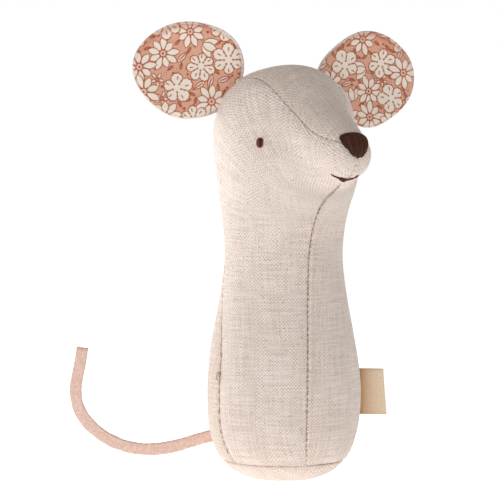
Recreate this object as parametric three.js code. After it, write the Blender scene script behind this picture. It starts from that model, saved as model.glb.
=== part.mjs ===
// A stuffed linen mouse rattle, in millimetres. The mouse stands upright and faces -Y, +Z is up,
// and the origin is the middle of the flat patch that it stands on. Its own left is +X.
//
// The skin is one smooth surface: a turned body joined to two rounded cones that make the
// forehead, muzzle and jaw. Every cloth panel is a piece of that skin, cut along the seams.
import * as THREE from 'three';

// ---------------------------------------------------------------- driving dimensions

const FLOOR_PATCH_RADIUS = 11;
const BODY_PROFILE = [ // radius, height: foot, hips, waist, back of the head, crown
  [11, 0], [15.1, 1.6], [18.7, 4.2], [21.6, 7.6], [23.5, 11.8], [25, 18], [25.5, 26], [25.3, 33],
  [24.4, 41], [23, 49], [21.5, 57], [20.4, 65], [19.7, 72], [19.7, 78], [20.4, 85], [21.2, 92],
  [22.1, 99], [22.9, 105], [23.4, 111], [23.1, 117], [21.9, 122], [19.7, 126.8], [16.2, 130.3],
  [11.5, 132.8], [5.9, 133.9], [0, 134.1],
];
const FOREHEAD = { start: [0, -4.9, 117.1], startRadius: 17.5, end: [0, -39.3, 106.6], endRadius: 8.5 };
const JAW = { start: [0, -9.3, 103], startRadius: 19.1, end: [0, -36.8, 104.9], endRadius: 7.7 };
const MUZZLE_BLEND = 7.3;
const CONE_BLEND = 1;

const CLOTH_THICKNESS = 0.8;
const SEAM_HALF_GAP = 0.2;
const STUFFING_DEPTH = 2.4; // below the outside of the cloth
const BASE_SEAM_HEIGHT = 5.4;
const BASE_SEAM_RADIUS = 19.4;

const THROAT_PIVOT = { forward: 34, height: 84 }; // the cuts through the neck and head fan about it
const CROWN_REACH = 18; // how far the fanned cuts reach from the middle line, for spacing them
// Each station is one cut through the body: where its middle lies, and the angle of the front,
// right and left seams on it. 0 degrees is the belly or chin side, 180 is the back or crown.
const STATIONS = [
  { forward: 0, height: 5.8, front: -8, right: -80, left: 72 },
  { forward: 0, height: 15, front: -11, right: -85, left: 70 },
  { forward: 0, height: 30, front: -11, right: -85, left: 70 },
  { forward: 0, height: 44, front: -9.5, right: -88, left: 76 },
  { forward: 0, height: 58, front: -7, right: -102, left: 92 },
  { forward: 0, height: 72, front: -4, right: -113, left: 108 },
  { forward: 0, height: 84, front: -0.5, right: -118, left: 118 },
  { forward: 3, height: 97, front: 0, right: -127, left: 127 },
  { forward: 11, height: 107.5, front: 0, right: -144, left: 144 },
  { forward: 16, height: 109, front: 0, right: -151, left: 151 },
  { forward: 22, height: 109, front: 0, right: -150, left: 150 },
  { forward: 28, height: 108, front: 0, right: -140.5, left: 140.5 },
  { forward: 34, height: 106.5, front: 0, right: -130, left: 130 },
  { forward: 41, height: 106, front: 0, right: -127.5, left: 127.5 },
  { forward: 47.2, height: 106.2, front: 0, right: -134, left: 134 },
];

const EAR_HALF_WIDTH = 18.2;
const EAR_HALF_HEIGHT = 15.8;
const EAR_CUP_DEPTH = 1.6;
const EAR_LAYER_THICKNESS = 0.8;
const EAR_LAYER_GAP = 0.3;
const EAR_HEAD_GAP = 0.7;
const EARS = {
  right: { centre: [-29.9, 9.6, 134.5], yaw: -22 },
  left: { centre: [34.4, 3.8, 132.7], yaw: -4 },
};

const EYE_HEIGHT = 110.3;
const EYE_ANGLE = 46.5; // round the vertical axis from straight ahead
const EYE_HALF_WIDTH = 1.3;
const EYE_HALF_HEIGHT = 1.65;
const STITCH_CLEARANCE = 0.3;
const SATIN_THICKNESS = 0.7;
const NOSE_OUTLINE = [ // degrees round the muzzle's tip: sideways, up
  [0, 51], [18, 50], [36, 45], [45, 38], [38, 25], [24, 8], [12, -5], [0, -8],
  [-12, -4], [-24, 10], [-38, 27], [-45, 37], [-36, 45], [-18, 50],
];
const NOSE_MIDDLE = 24; // degrees up
const NOSE_THICKNESS = 1.1;
const MOUTH_POINTS = [ // sideways, height
  [-5.7, 100.4], [-4.6, 99.7], [-3.1, 99.1], [-1.3, 98.6], [0.3, 98.8], [1.4, 99.2], [2.7, 99.9],
];
const MOUTH_THREAD_RADIUS = 0.45;

const TAIL_WIDTH = 4;
const TAIL_THICKNESS = 1.8;
const TAIL_CORNER = 0.4;
const TAIL_STEPS = 34;
const TAIL_ROOT = { along: -11.6, height: 11.4 };
const TAIL_PLANE_YAW = -28; // the tail's flat side faces the same way as the right side of the face
const TAIL_PLANE_DEPTH = 22.3; // how far that plane lies behind the body's axis
const TAIL_POINTS = [ // along the tail's own plane, height
  [-18.4, 11.4], [-25, 10.6], [-31.4, 8.8], [-37.8, 7], [-45.3, 6.1], [-52.9, 7], [-59.2, 9.4],
  [-64.2, 12.9], [-68, 17], [-70.1, 21.4], [-70.8, 26.4], [-70.1, 31.5], [-69.1, 36.3], [-68.4, 41],
];

const LABEL_REACH = 8.2;
const LABEL_HEIGHT = 15.2;
const LABEL_LEAF = 0.35;
const LABEL_FOLD_GAP = 0.4;
const LABEL_MIDDLE = 28; // height
const LABEL_ANGLE = 70;
const LABEL_SKIN_GAP = 0.5;

const CAPSULE_HEIGHT = 44; // of its middle
const CAPSULE_RADIUS = 14;
const CAPSULE_WALL = 1.2;
const BEAD_RADIUS = 2.2;
const BEAD_RING_ANGLE = 28;
const RING_BEADS = 4;

const CLOSING_SEAM = { low: 11, high: 43, crossings: 13, swingDegrees: 2.15, threadRadius: 0.28 };

// ---------------------------------------------------------------- the skin

const radians = THREE.MathUtils.degToRad;
const profile = new THREE.SplineCurve(BODY_PROFILE.map(([r, z]) => new THREE.Vector2(r, z))).getPoints(75);

function bodyDistance(point) {
  const radius = Math.hypot(point.x, point.y);
  const height = point.z;
  let nearest = radius < FLOOR_PATCH_RADIUS ? height * height : Infinity;
  let inside = false;
  for (let i = 0; i < profile.length - 1; i += 1) {
    const a = profile[i];
    const b = profile[i + 1];
    const stepR = b.x - a.x;
    const stepZ = b.y - a.y;
    const share = ((radius - a.x) * stepR + (height - a.y) * stepZ) / (stepR * stepR + stepZ * stepZ);
    const t = THREE.MathUtils.clamp(share, 0, 1);
    const gapR = radius - a.x - stepR * t;
    const gapZ = height - a.y - stepZ * t;
    nearest = Math.min(nearest, gapR * gapR + gapZ * gapZ);
    if (height >= a.y && height < b.y) inside = radius < a.x + stepR * ((height - a.y) / stepZ);
  }
  return Math.sqrt(nearest) * (inside ? -1 : 1);
}

// The signed distance to two spheres of different radius and the cone that joins them.
function roundConeDistance(point, { start, startRadius, end, endRadius }) {
  const a = new THREE.Vector3(...start);
  const axis = new THREE.Vector3(...end).sub(a);
  const length2 = axis.lengthSq();
  const fall = startRadius - endRadius;
  const wall2 = length2 - fall * fall;
  const fromStart = point.clone().sub(a);
  const along = fromStart.dot(axis);
  const beyond = along - length2;
  const across2 = fromStart.clone().multiplyScalar(length2).addScaledVector(axis, -along).lengthSq();
  const along2 = along * along * length2;
  const beyond2 = beyond * beyond * length2;
  const edge = Math.sign(fall) * fall * fall * across2;
  if (Math.sign(beyond) * wall2 * beyond2 > edge) return Math.sqrt(across2 + beyond2) / length2 - endRadius;
  if (Math.sign(along) * wall2 * along2 < edge) return Math.sqrt(across2 + along2) / length2 - startRadius;
  return (Math.sqrt((across2 * wall2) / length2) + along * fall) / length2 - startRadius;
}

function smoothMin(a, b, blend) {
  const overlap = Math.max(blend - Math.abs(a - b), 0) / blend;
  return Math.min(a, b) - (overlap * overlap * blend) / 4;
}

function skinDistance(point) {
  const cones = smoothMin(roundConeDistance(point, FOREHEAD), roundConeDistance(point, JAW), CONE_BLEND);
  return smoothMin(bodyDistance(point), cones, MUZZLE_BLEND);
}

// The point on the ray from origin that lies `outside` millimetres outside the skin.
function castToSkin(origin, direction, outside) {
  let near = 0;
  let far = 80;
  for (let i = 0; i < 26; i += 1) {
    const middle = (near + far) / 2;
    const point = origin.clone().addScaledVector(direction, middle);
    if (skinDistance(point) < outside) near = middle;
    else far = middle;
  }
  return origin.clone().addScaledVector(direction, near);
}

// ---------------------------------------------------------------- stations along the body

function splineValue(values, position) {
  const index = Math.min(Math.floor(position), values.length - 2);
  const t = position - index;
  const at = (i) => values[THREE.MathUtils.clamp(i, 0, values.length - 1)];
  const [p0, p1, p2, p3] = [at(index - 1), at(index), at(index + 1), at(index + 2)];
  const bend = (2 * p0 - 5 * p1 + 4 * p2 - p3) * t * t + (3 * p1 - p0 - 3 * p2 + p3) * t * t * t;
  return (2 * p1 + (p2 - p0) * t + bend) / 2;
}

function stationAt(position) {
  const value = (key) => splineValue(STATIONS.map((station) => station[key]), position);
  const forward = value('forward');
  const height = value('height');
  const rise = height - THROAT_PIVOT.height;
  const reach = THROAT_PIVOT.forward - forward;
  let tilt = rise <= 0 ? 0 : Math.atan2(rise, Math.max(reach, 0));
  if (reach <= 0) tilt = Math.PI / 2;
  return { forward, height, tilt, front: value('front'), right: value('right'), left: value('left') };
}

function stationPoint(station, angle, outside) {
  const turn = radians(angle);
  const front = new THREE.Vector3(0, -Math.cos(station.tilt), -Math.sin(station.tilt));
  const direction = front.multiplyScalar(Math.cos(turn)).add(new THREE.Vector3(Math.sin(turn), 0, 0));
  return castToSkin(new THREE.Vector3(0, -station.forward, station.height), direction, outside);
}

// Positions between two stations, spaced evenly along the body.
function spacedStations(from, to, count) {
  const samples = 400;
  const travelled = [0];
  let last = stationAt(from);
  for (let i = 1; i <= samples; i += 1) {
    const next = stationAt(from + ((to - from) * i) / samples);
    const fan = CROWN_REACH * Math.abs(next.tilt - last.tilt);
    const step = Math.hypot(next.forward - last.forward, next.height - last.height);
    travelled.push(travelled[i - 1] + step + fan);
    last = next;
  }
  const stations = [];
  for (let i = 0, sample = 0; i <= count; i += 1) {
    const wanted = (travelled[samples] * i) / count;
    while (sample < samples && travelled[sample] < wanted) sample += 1;
    stations.push(stationAt(from + ((to - from) * sample) / samples));
  }
  return stations;
}

// ---------------------------------------------------------------- closed solids from grids

function meshFromFaces(name, points, faces, material) {
  const geometry = new THREE.BufferGeometry();
  const positions = points.flatMap((point) => [point.x, point.y, point.z]);
  geometry.setAttribute('position', new THREE.Float32BufferAttribute(positions, 3));
  geometry.setIndex(faces.flat());
  geometry.computeVertexNormals();
  const mesh = new THREE.Mesh(geometry, material);
  mesh.name = name;
  return mesh;
}

function quad(a, b, c, d) {
  return [[a, b, c], [a, c, d]];
}

// A sheet with an outer and an inner grid of the same size, joined round its edge.
// Rows run along the first index and columns along the second, with the outside on the right.
function sheetSolid(name, outer, inner, material) {
  const columns = outer[0].length;
  const right = columns - 1;
  const top = outer.length - 1;
  const points = [...outer.flat(), ...inner.flat()];
  const faces = [];
  const front = (row, column) => row * columns + column;
  const back = (row, column) => outer.length * columns + front(row, column);
  for (let row = 0; row < top; row += 1) {
    const next = row + 1;
    for (let column = 0; column < right; column += 1) {
      const beside = column + 1;
      faces.push(...quad(front(row, column), front(row, beside), front(next, beside), front(next, column)));
      faces.push(...quad(back(row, column), back(next, column), back(next, beside), back(row, beside)));
    }
    faces.push(...quad(front(row, 0), front(next, 0), back(next, 0), back(row, 0)));
    faces.push(...quad(front(next, right), front(row, right), back(row, right), back(next, right)));
  }
  for (let column = 0; column < right; column += 1) {
    const beside = column + 1;
    faces.push(...quad(front(0, beside), front(0, column), back(0, column), back(0, beside)));
    faces.push(...quad(front(top, column), front(top, beside), back(top, beside), back(top, column)));
  }
  return meshFromFaces(name, points, faces, material);
}

// A closed skin through rings of points, from one pole to the other. Seen from the last pole,
// the rings run anticlockwise.
function ringSolid(name, firstPole, rings, lastPole, material) {
  const size = rings[0].length;
  const points = [firstPole, ...rings.flat(), lastPole];
  const at = (ring, k) => 1 + ring * size + (k % size);
  const end = points.length - 1;
  const faces = [];
  for (let k = 0; k < size; k += 1) {
    faces.push([0, at(0, k + 1), at(0, k)]);
    faces.push([end, at(rings.length - 1, k), at(rings.length - 1, k + 1)]);
    for (let ring = 0; ring < rings.length - 1; ring += 1) {
      faces.push(...quad(at(ring, k), at(ring, k + 1), at(ring + 1, k + 1), at(ring + 1, k)));
    }
  }
  return meshFromFaces(name, points, faces, material);
}

function cloth(color, roughness = 0.9) {
  return new THREE.MeshStandardMaterial({ color, roughness, metalness: 0 });
}

const linen = cloth('#dfd2c6');
const crownLinen = cloth('#c9bcae');
const printedCotton = cloth('#dbab97');
const noseThread = cloth('#3f2013', 0.6);
const eyeThread = cloth('#6b3a20', 0.6);
const suede = cloth('#dcb5a4', 0.95);
const ribbon = cloth('#d8bc90', 0.7);
const fibre = cloth('#f2f0ec', 1);
const seamThread = cloth('#b9a794', 0.8);
const clearPlastic = new THREE.MeshStandardMaterial({ color: '#e9ecec', roughness: 0.25, metalness: 0 });
const beadPlastic = new THREE.MeshStandardMaterial({ color: '#d9a23a', roughness: 0.3, metalness: 0 });

// ---------------------------------------------------------------- cloth panels

const PANEL_ROWS = 27;
const SIDE_COLUMNS = 8;
const BACK_COLUMNS = 10;
const LAST_STATION = STATIONS.length - 1;
const panelStations = spacedStations(0, LAST_STATION, PANEL_ROWS);

function panel(name, fromSeam, toSeam, columns, material) {
  const layer = (outside) => panelStations.map((station) => {
    const edge = stationPoint(station, fromSeam(station), 0);
    const middle = new THREE.Vector3(0, -station.forward, station.height);
    const gap = THREE.MathUtils.radToDeg(SEAM_HALF_GAP / edge.distanceTo(middle));
    const from = fromSeam(station) + gap;
    const turn = (toSeam(station) - gap - from) / columns;
    return Array.from({ length: columns + 1 }, (_, i) => stationPoint(station, from + turn * i, outside));
  });
  return sheetSolid(name, layer(0), layer(-CLOTH_THICKNESS), material);
}

const rightSidePanel = panel('right_side_panel', (s) => s.right, (s) => s.front, SIDE_COLUMNS, linen);
const leftSidePanel = panel('left_side_panel', (s) => s.front, (s) => s.left, SIDE_COLUMNS, linen);
const crownAndBackPanel = panel(
  'crown_and_back_panel', (s) => s.left, (s) => s.right + 360, BACK_COLUMNS, crownLinen,
);

// A level ring of points that starts at the mouse's right and passes its front first.
function levelRing(radius, height, count) {
  return Array.from({ length: count }, (_, k) => {
    const turn = (2 * Math.PI * k) / count - Math.PI / 2;
    return new THREE.Vector3(radius * Math.sin(turn), -radius * Math.cos(turn), height);
  });
}

// The foot is a round of cloth, flat in the middle and turned up to meet the side panels.
const BASE_OUTSIDE = [ // radius, height
  [FLOOR_PATCH_RADIUS, 0], [15.1, 1.6], [18.7, 4.2], [BASE_SEAM_RADIUS, BASE_SEAM_HEIGHT - 0.4],
];
const BASE_INSIDE = [
  [BASE_SEAM_RADIUS - 0.75, BASE_SEAM_HEIGHT - 0.1], [17.6, 4.5], [14.5, 2.2], [10.7, CLOTH_THICKNESS],
];
const BASE_SIDES = 36;

function basePanel() {
  const section = [...BASE_OUTSIDE, ...BASE_INSIDE];
  const rings = section.map(([radius, height]) => levelRing(radius, height, BASE_SIDES));
  const outside = new THREE.Vector3(0, 0, 0);
  const inside = new THREE.Vector3(0, 0, CLOTH_THICKNESS);
  return ringSolid('base_panel', outside, rings, inside, linen);
}

// ---------------------------------------------------------------- stuffing and rattle

const STUFFING_SIDES = 24;
const STUFFING_SPLIT_GAP = 0.15; // either side of the capsule's middle
const STUFFING_FOOT = [[9.6, 1.3], [13.4, 2.6], [16.4, 4.6]]; // radius, height
const LOWER_STUFFING_HEIGHTS = [7, 10, 14, 19, 25, 31, 37];
const UPPER_STUFFING_HEIGHTS = [50, 57, 65, 73, 80];
const HEAD_STUFFING = { from: 6.2, to: 13.3, rings: 14, tip: [0, -45.2, 106.3] }; // stations, and the nose end
const POCKET_RADIUS = CAPSULE_RADIUS + 0.4;
const POCKET_POLARS = [18, 36, 54, 72, 88]; // degrees from the pocket's top or bottom

function stuffingRing(station) {
  return Array.from({ length: STUFFING_SIDES }, (_, k) => {
    const angle = (360 * k) / STUFFING_SIDES - 90; // starts at the mouse's right, as levelRing does
    return stationPoint(station, angle, -STUFFING_DEPTH);
  });
}

function bodyStuffingRing(height) {
  return stuffingRing({ forward: 0, height, tilt: 0 });
}

// One ring of the round pocket that holds the capsule, above (1) or below (-1) its middle.
function pocketRing(polar, direction) {
  const radius = POCKET_RADIUS * Math.sin(radians(polar));
  const height = CAPSULE_HEIGHT + direction * POCKET_RADIUS * Math.cos(radians(polar));
  return levelRing(radius, height, STUFFING_SIDES);
}

function lowerStuffing() {
  const foot = STUFFING_FOOT.map(([radius, height]) => levelRing(radius, height, STUFFING_SIDES));
  const walls = [...LOWER_STUFFING_HEIGHTS, CAPSULE_HEIGHT - STUFFING_SPLIT_GAP].map(bodyStuffingRing);
  const pocket = [...POCKET_POLARS].reverse().map((polar) => pocketRing(polar, -1));
  const first = new THREE.Vector3(0, 0, STUFFING_FOOT[0][1]);
  const last = new THREE.Vector3(0, 0, CAPSULE_HEIGHT - POCKET_RADIUS);
  return ringSolid('lower_stuffing', first, [...foot, ...walls, ...pocket], last, fibre);
}

function upperStuffing() {
  const pocket = POCKET_POLARS.map((polar) => pocketRing(polar, 1));
  const walls = [CAPSULE_HEIGHT + STUFFING_SPLIT_GAP, ...UPPER_STUFFING_HEIGHTS].map(bodyStuffingRing);
  const head = spacedStations(HEAD_STUFFING.from, HEAD_STUFFING.to, HEAD_STUFFING.rings).map(stuffingRing);
  const first = new THREE.Vector3(0, 0, CAPSULE_HEIGHT + POCKET_RADIUS);
  const last = new THREE.Vector3(...HEAD_STUFFING.tip);
  return ringSolid('upper_stuffing', first, [...pocket, ...walls, ...head], last, fibre);
}

function capsuleShell(name, direction) {
  const inner = CAPSULE_RADIUS - CAPSULE_WALL;
  const arc = (radius, count, order) => Array.from({ length: count + 1 }, (_, i) => {
    const polar = (Math.PI / 2) * (order > 0 ? i / count : 1 - i / count);
    return [radius * Math.sin(polar), radius * Math.cos(polar)];
  });
  const points = [...arc(CAPSULE_RADIUS, 5, 1), ...arc(inner, 5, -1)].map(([radius, rise]) => {
    const height = direction * Math.max(rise, STUFFING_SPLIT_GAP);
    return new THREE.Vector2(radius < 1e-6 ? 0 : radius, height);
  });
  if (direction > 0) points.reverse();
  const geometry = new THREE.LatheGeometry(points, 20);
  const mesh = new THREE.Mesh(geometry, clearPlastic);
  mesh.name = name;
  mesh.rotation.x = Math.PI / 2;
  mesh.position.z = CAPSULE_HEIGHT;
  return mesh;
}

function beads() {
  const reach = CAPSULE_RADIUS - CAPSULE_WALL - BEAD_RADIUS - 0.35;
  return Array.from({ length: RING_BEADS + 1 }, (_, i) => {
    const polar = i === 0 ? 0 : radians(BEAD_RING_ANGLE);
    const turn = (2 * Math.PI * i) / RING_BEADS;
    const bead = new THREE.Mesh(new THREE.SphereGeometry(BEAD_RADIUS, 10, 7), beadPlastic);
    bead.name = `rattle_bead_${i + 1}`;
    const across = reach * Math.sin(polar);
    const height = CAPSULE_HEIGHT - reach * Math.cos(polar);
    bead.position.set(across * Math.cos(turn), across * Math.sin(turn), height);
    return bead;
  });
}

// ---------------------------------------------------------------- ears

// Each ear is an oval of two cloths. Its rim stops short of the head, and it is cupped forward.
function earLayer(name, side, nearFace, farFace, material) {
  const { centre, yaw } = EARS[side];
  const middle = new THREE.Vector3(...centre);
  const across = new THREE.Vector3(Math.cos(radians(yaw)), Math.sin(radians(yaw)), 0);
  const face = new THREE.Vector3(Math.sin(radians(yaw)), -Math.cos(radians(yaw)), 0);
  const spokes = 28;
  const fractions = [0.35, 0.7, 1];
  const pointAt = (turn, fraction, offset) => {
    const direction = across.clone().multiplyScalar(Math.cos(turn));
    direction.z += Math.sin(turn);
    const oval = 1 / Math.hypot(Math.cos(turn) / EAR_HALF_WIDTH, Math.sin(turn) / EAR_HALF_HEIGHT);
    const reach = distanceToHead(middle, direction, oval) * fraction;
    const depth = offset + EAR_CUP_DEPTH * (fraction * fraction - 1);
    return middle.clone().addScaledVector(direction, reach).addScaledVector(face, depth);
  };
  const ring = (fraction, offset) => Array.from(
    { length: spokes }, (_, k) => pointAt((-2 * Math.PI * k) / spokes, fraction, offset),
  );
  const outer = fractions.map((fraction) => ring(fraction, nearFace));
  const inner = [...fractions].reverse().map((fraction) => ring(fraction, farFace));
  return ringSolid(name, pointAt(0, 0, nearFace), [...outer, ...inner], pointAt(0, 0, farFace), material);
}

function distanceToHead(origin, direction, limit) {
  for (let travel = 0; travel < limit; travel += 0.05) {
    if (skinDistance(origin.clone().addScaledVector(direction, travel)) < EAR_HEAD_GAP) return travel;
  }
  return limit;
}

const halfGap = EAR_LAYER_GAP / 2;
const earDepth = halfGap + EAR_LAYER_THICKNESS;
const ears = ['right', 'left'].flatMap((side) => [
  earLayer(`${side}_ear_front`, side, earDepth, halfGap, printedCotton),
  earLayer(`${side}_ear_back`, side, -halfGap, -earDepth, linen),
]);

// ---------------------------------------------------------------- embroidery

// A raised patch of satin stitch that follows the skin, fanned out from a point inside it.
function satinPatch(name, origin, directions, middleDirection, thickness, material) {
  const ring = (share, outside) => directions.map((direction) => {
    const mixed = middleDirection.clone().lerp(direction, share).normalize();
    return castToSkin(origin, mixed, outside);
  });
  const top = STITCH_CLEARANCE + thickness;
  const edge = STITCH_CLEARANCE + thickness * 0.6;
  const outer = [ring(0.5, top), ring(0.85, top), ring(1, edge)];
  const inner = [ring(1, STITCH_CLEARANCE), ring(0.5, STITCH_CLEARANCE)];
  const first = castToSkin(origin, middleDirection, top);
  const last = castToSkin(origin, middleDirection, STITCH_CLEARANCE);
  return ringSolid(name, first, [...outer, ...inner], last, material);
}

function muzzleDirection(sideways, up) {
  const level = Math.cos(radians(up));
  const across = level * Math.sin(radians(sideways));
  return new THREE.Vector3(across, -level * Math.cos(radians(sideways)), Math.sin(radians(up)));
}

function nose() {
  const outline = new THREE.CatmullRomCurve3(NOSE_OUTLINE.map(([a, b]) => new THREE.Vector3(a, b, 0)), true);
  const corners = outline.getPoints(2 * NOSE_OUTLINE.length).slice(0, -1);
  const directions = corners.map((corner) => muzzleDirection(corner.x, corner.y));
  const origin = new THREE.Vector3(...FOREHEAD.end);
  const middle = muzzleDirection(0, NOSE_MIDDLE);
  return satinPatch('nose_stitches', origin, directions, middle, NOSE_THICKNESS, noseThread);
}

function eye(name, side) {
  const count = 14;
  const turn = radians(EYE_ANGLE);
  const outward = new THREE.Vector3(side * Math.sin(turn), -Math.cos(turn), 0);
  const sideways = new THREE.Vector3(side * Math.cos(turn), Math.sin(turn), 0);
  const origin = new THREE.Vector3(0, 0, EYE_HEIGHT);
  const reach = castToSkin(origin, outward, 0).distanceTo(origin);
  const directions = Array.from({ length: count }, (_, k) => {
    const angle = (side * 2 * Math.PI * k) / count;
    const direction = outward.clone().multiplyScalar(reach);
    direction.addScaledVector(sideways, EYE_HALF_WIDTH * Math.cos(angle));
    direction.z += EYE_HALF_HEIGHT * Math.sin(angle);
    return direction.normalize();
  });
  directions.reverse();
  return satinPatch(name, origin, directions, outward, SATIN_THICKNESS, eyeThread);
}

// A round thread swept through points, as a closed rod.
function thread(name, points, radius, steps, material) {
  const section = new THREE.Shape();
  section.absarc(0, 0, radius, 0, 2 * Math.PI);
  const path = new THREE.CatmullRomCurve3(points);
  const options = { steps, curveSegments: 4, bevelEnabled: false, extrudePath: path };
  const geometry = new THREE.ExtrudeGeometry(section, options);
  const mesh = new THREE.Mesh(geometry, material);
  mesh.name = name;
  return mesh;
}

function mouth() {
  const lift = MOUTH_THREAD_RADIUS + STITCH_CLEARANCE;
  const points = MOUTH_POINTS.map(([sideways, height]) => {
    const origin = new THREE.Vector3(sideways, -30, height);
    return castToSkin(origin, new THREE.Vector3(0, -1, 0), lift);
  });
  return thread('mouth_stitches', points, MOUTH_THREAD_RADIUS, 16, eyeThread);
}

// The hand-sewn closing seam: one thread that crosses the right side seam back and forth.
function closingThread() {
  const { low, high, crossings, swingDegrees, threadRadius } = CLOSING_SEAM;
  const points = Array.from({ length: crossings }, (_, i) => {
    const height = low + ((high - low) * i) / (crossings - 1);
    const station = stationAtHeight(height);
    const swing = i % 2 === 0 ? swingDegrees : -swingDegrees;
    return stationPoint(station, station.right + swing, threadRadius + STITCH_CLEARANCE);
  });
  return thread('closing_thread', points, threadRadius, 36, seamThread);
}

// Below the neck the stations are level, so one height is one station.
function stationAtHeight(height) {
  let position = 0;
  while (stationAt(position).height < height) position += 0.005;
  return stationAt(position);
}

// ---------------------------------------------------------------- tail and label

function tail() {
  const yaw = radians(TAIL_PLANE_YAW);
  const place = ([along, height]) => new THREE.Vector3(
    along * Math.cos(yaw) - TAIL_PLANE_DEPTH * Math.sin(yaw),
    along * Math.sin(yaw) + TAIL_PLANE_DEPTH * Math.cos(yaw),
    height,
  );
  const root = [TAIL_ROOT.along, TAIL_ROOT.height];
  const path = new THREE.CatmullRomCurve3([root, ...TAIL_POINTS].map(place));
  const halfWidth = TAIL_WIDTH / 2;
  const halfThickness = TAIL_THICKNESS / 2;
  const halfFace = halfWidth - TAIL_CORNER;
  const halfEdge = halfThickness - TAIL_CORNER;
  const quarter = [[halfFace, halfThickness], [halfWidth, halfEdge]];
  const opposite = quarter.map(([x, y]) => [-x, -y]);
  const otherSide = ([x, y]) => [x, -y];
  const corners = [
    ...quarter, ...quarter.map(otherSide).reverse(), ...opposite, ...opposite.map(otherSide).reverse(),
  ];
  const section = new THREE.Shape(corners.map(([x, y]) => new THREE.Vector2(x, y)));
  const options = { steps: TAIL_STEPS, bevelEnabled: false, extrudePath: path };
  const geometry = new THREE.ExtrudeGeometry(section, options);
  const mesh = new THREE.Mesh(geometry, suede);
  mesh.name = 'tail';
  return mesh;
}

// A ribbon folded double, with its two ends sewn into the left side seam.
function label() {
  const outer = LABEL_LEAF + LABEL_FOLD_GAP / 2;
  const slot = LABEL_FOLD_GAP / 2;
  const shape = new THREE.Shape();
  shape.moveTo(0, -outer);
  shape.lineTo(LABEL_REACH - outer, -outer);
  shape.absarc(LABEL_REACH - outer, 0, outer, -Math.PI / 2, Math.PI / 2, false);
  shape.lineTo(0, outer);
  shape.lineTo(0, slot);
  shape.lineTo(LABEL_REACH - outer, slot);
  shape.absarc(LABEL_REACH - outer, 0, slot, Math.PI / 2, -Math.PI / 2, true);
  shape.lineTo(0, -slot);
  const options = { depth: LABEL_HEIGHT, bevelEnabled: false, curveSegments: 4 };
  const geometry = new THREE.ExtrudeGeometry(shape, options);
  const mesh = new THREE.Mesh(geometry, ribbon);
  mesh.name = 'label';
  const turn = radians(LABEL_ANGLE - 90);
  const outward = new THREE.Vector3(Math.cos(turn), Math.sin(turn), 0);
  const start = castToSkin(new THREE.Vector3(0, 0, LABEL_MIDDLE), outward, LABEL_SKIN_GAP);
  mesh.position.set(start.x, start.y, LABEL_MIDDLE - LABEL_HEIGHT / 2);
  mesh.rotation.z = turn;
  return mesh;
}

// ---------------------------------------------------------------- the whole mouse

const mouse = new THREE.Group();
mouse.add(rightSidePanel, leftSidePanel, crownAndBackPanel, basePanel());
mouse.add(lowerStuffing(), upperStuffing());
mouse.add(capsuleShell('rattle_shell_lower', -1), capsuleShell('rattle_shell_upper', 1), ...beads());
mouse.add(...ears, eye('right_eye', -1), eye('left_eye', 1), nose(), mouth());
mouse.add(closingThread(), tail(), label());

export default mouse;
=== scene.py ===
"""The looks of a stuffed linen mouse rattle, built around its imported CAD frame.

Shapes are worked out in millimetres on the same skin as the CAD part, a turned body joined to two
rounded cones, and are scaled to metres as each mesh is made. The mouse faces -Y and its own left is +X.
"""

import math

import bpy
import numpy as np
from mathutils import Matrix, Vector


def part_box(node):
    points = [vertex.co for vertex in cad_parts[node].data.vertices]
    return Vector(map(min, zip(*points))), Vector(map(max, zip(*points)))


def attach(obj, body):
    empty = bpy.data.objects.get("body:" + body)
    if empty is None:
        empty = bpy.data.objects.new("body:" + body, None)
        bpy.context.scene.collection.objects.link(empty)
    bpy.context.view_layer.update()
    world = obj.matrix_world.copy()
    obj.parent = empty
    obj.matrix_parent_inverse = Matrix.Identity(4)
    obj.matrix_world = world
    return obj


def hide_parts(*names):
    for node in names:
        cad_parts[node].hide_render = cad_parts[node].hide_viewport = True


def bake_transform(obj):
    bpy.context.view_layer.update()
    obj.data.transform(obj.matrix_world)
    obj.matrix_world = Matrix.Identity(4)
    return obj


MM = 0.001
UP = np.array([0, 0, 1])
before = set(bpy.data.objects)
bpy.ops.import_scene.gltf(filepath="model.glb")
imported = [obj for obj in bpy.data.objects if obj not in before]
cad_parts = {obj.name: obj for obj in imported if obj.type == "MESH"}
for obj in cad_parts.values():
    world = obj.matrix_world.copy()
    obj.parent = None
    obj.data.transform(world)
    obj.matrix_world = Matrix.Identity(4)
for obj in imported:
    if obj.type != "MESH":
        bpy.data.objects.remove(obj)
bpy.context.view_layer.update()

# ---------------------------------------------------------------- camera, light and floor

CAMERA_AZIMUTH = math.radians(-28)
CAMERA_ELEVATION = math.radians(2)
CAMERA_DISTANCE = 0.7
VIEW_WIDTH = 0.1655  # what the picture spans at the mouse's middle
VIEW_HEIGHT = 0.0752  # of the picture's middle above the floor
VIEW_SIDESTEP = 0.0111  # the mouse stands this far right of the picture's middle
LAMPS = {  # metres right of, in front of and above the mouse, then the lamp's size and its watts
    "key_left": (-0.8, 0.5, 0.08, 0.6, 3.1),
    "rim_left": (-0.6, -0.4, 0.15, 0.5, 3.6),
    "fill_right": (0.7, 0.6, 0.3, 0.7, 0.6),
    "top_soft": (0, 0.35, 0.8, 0.7, 0.8),
}
LAMP_TARGET = (0, 0, 0.07)
AMBIENT_STRENGTH = 0.36
WHITE = (1, 1, 1, 1)

IMAGE_RIGHT = np.array([math.cos(CAMERA_AZIMUTH), math.sin(CAMERA_AZIMUTH), 0])
TO_CAMERA = np.array([math.sin(CAMERA_AZIMUTH), -math.cos(CAMERA_AZIMUTH), 0])


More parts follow.
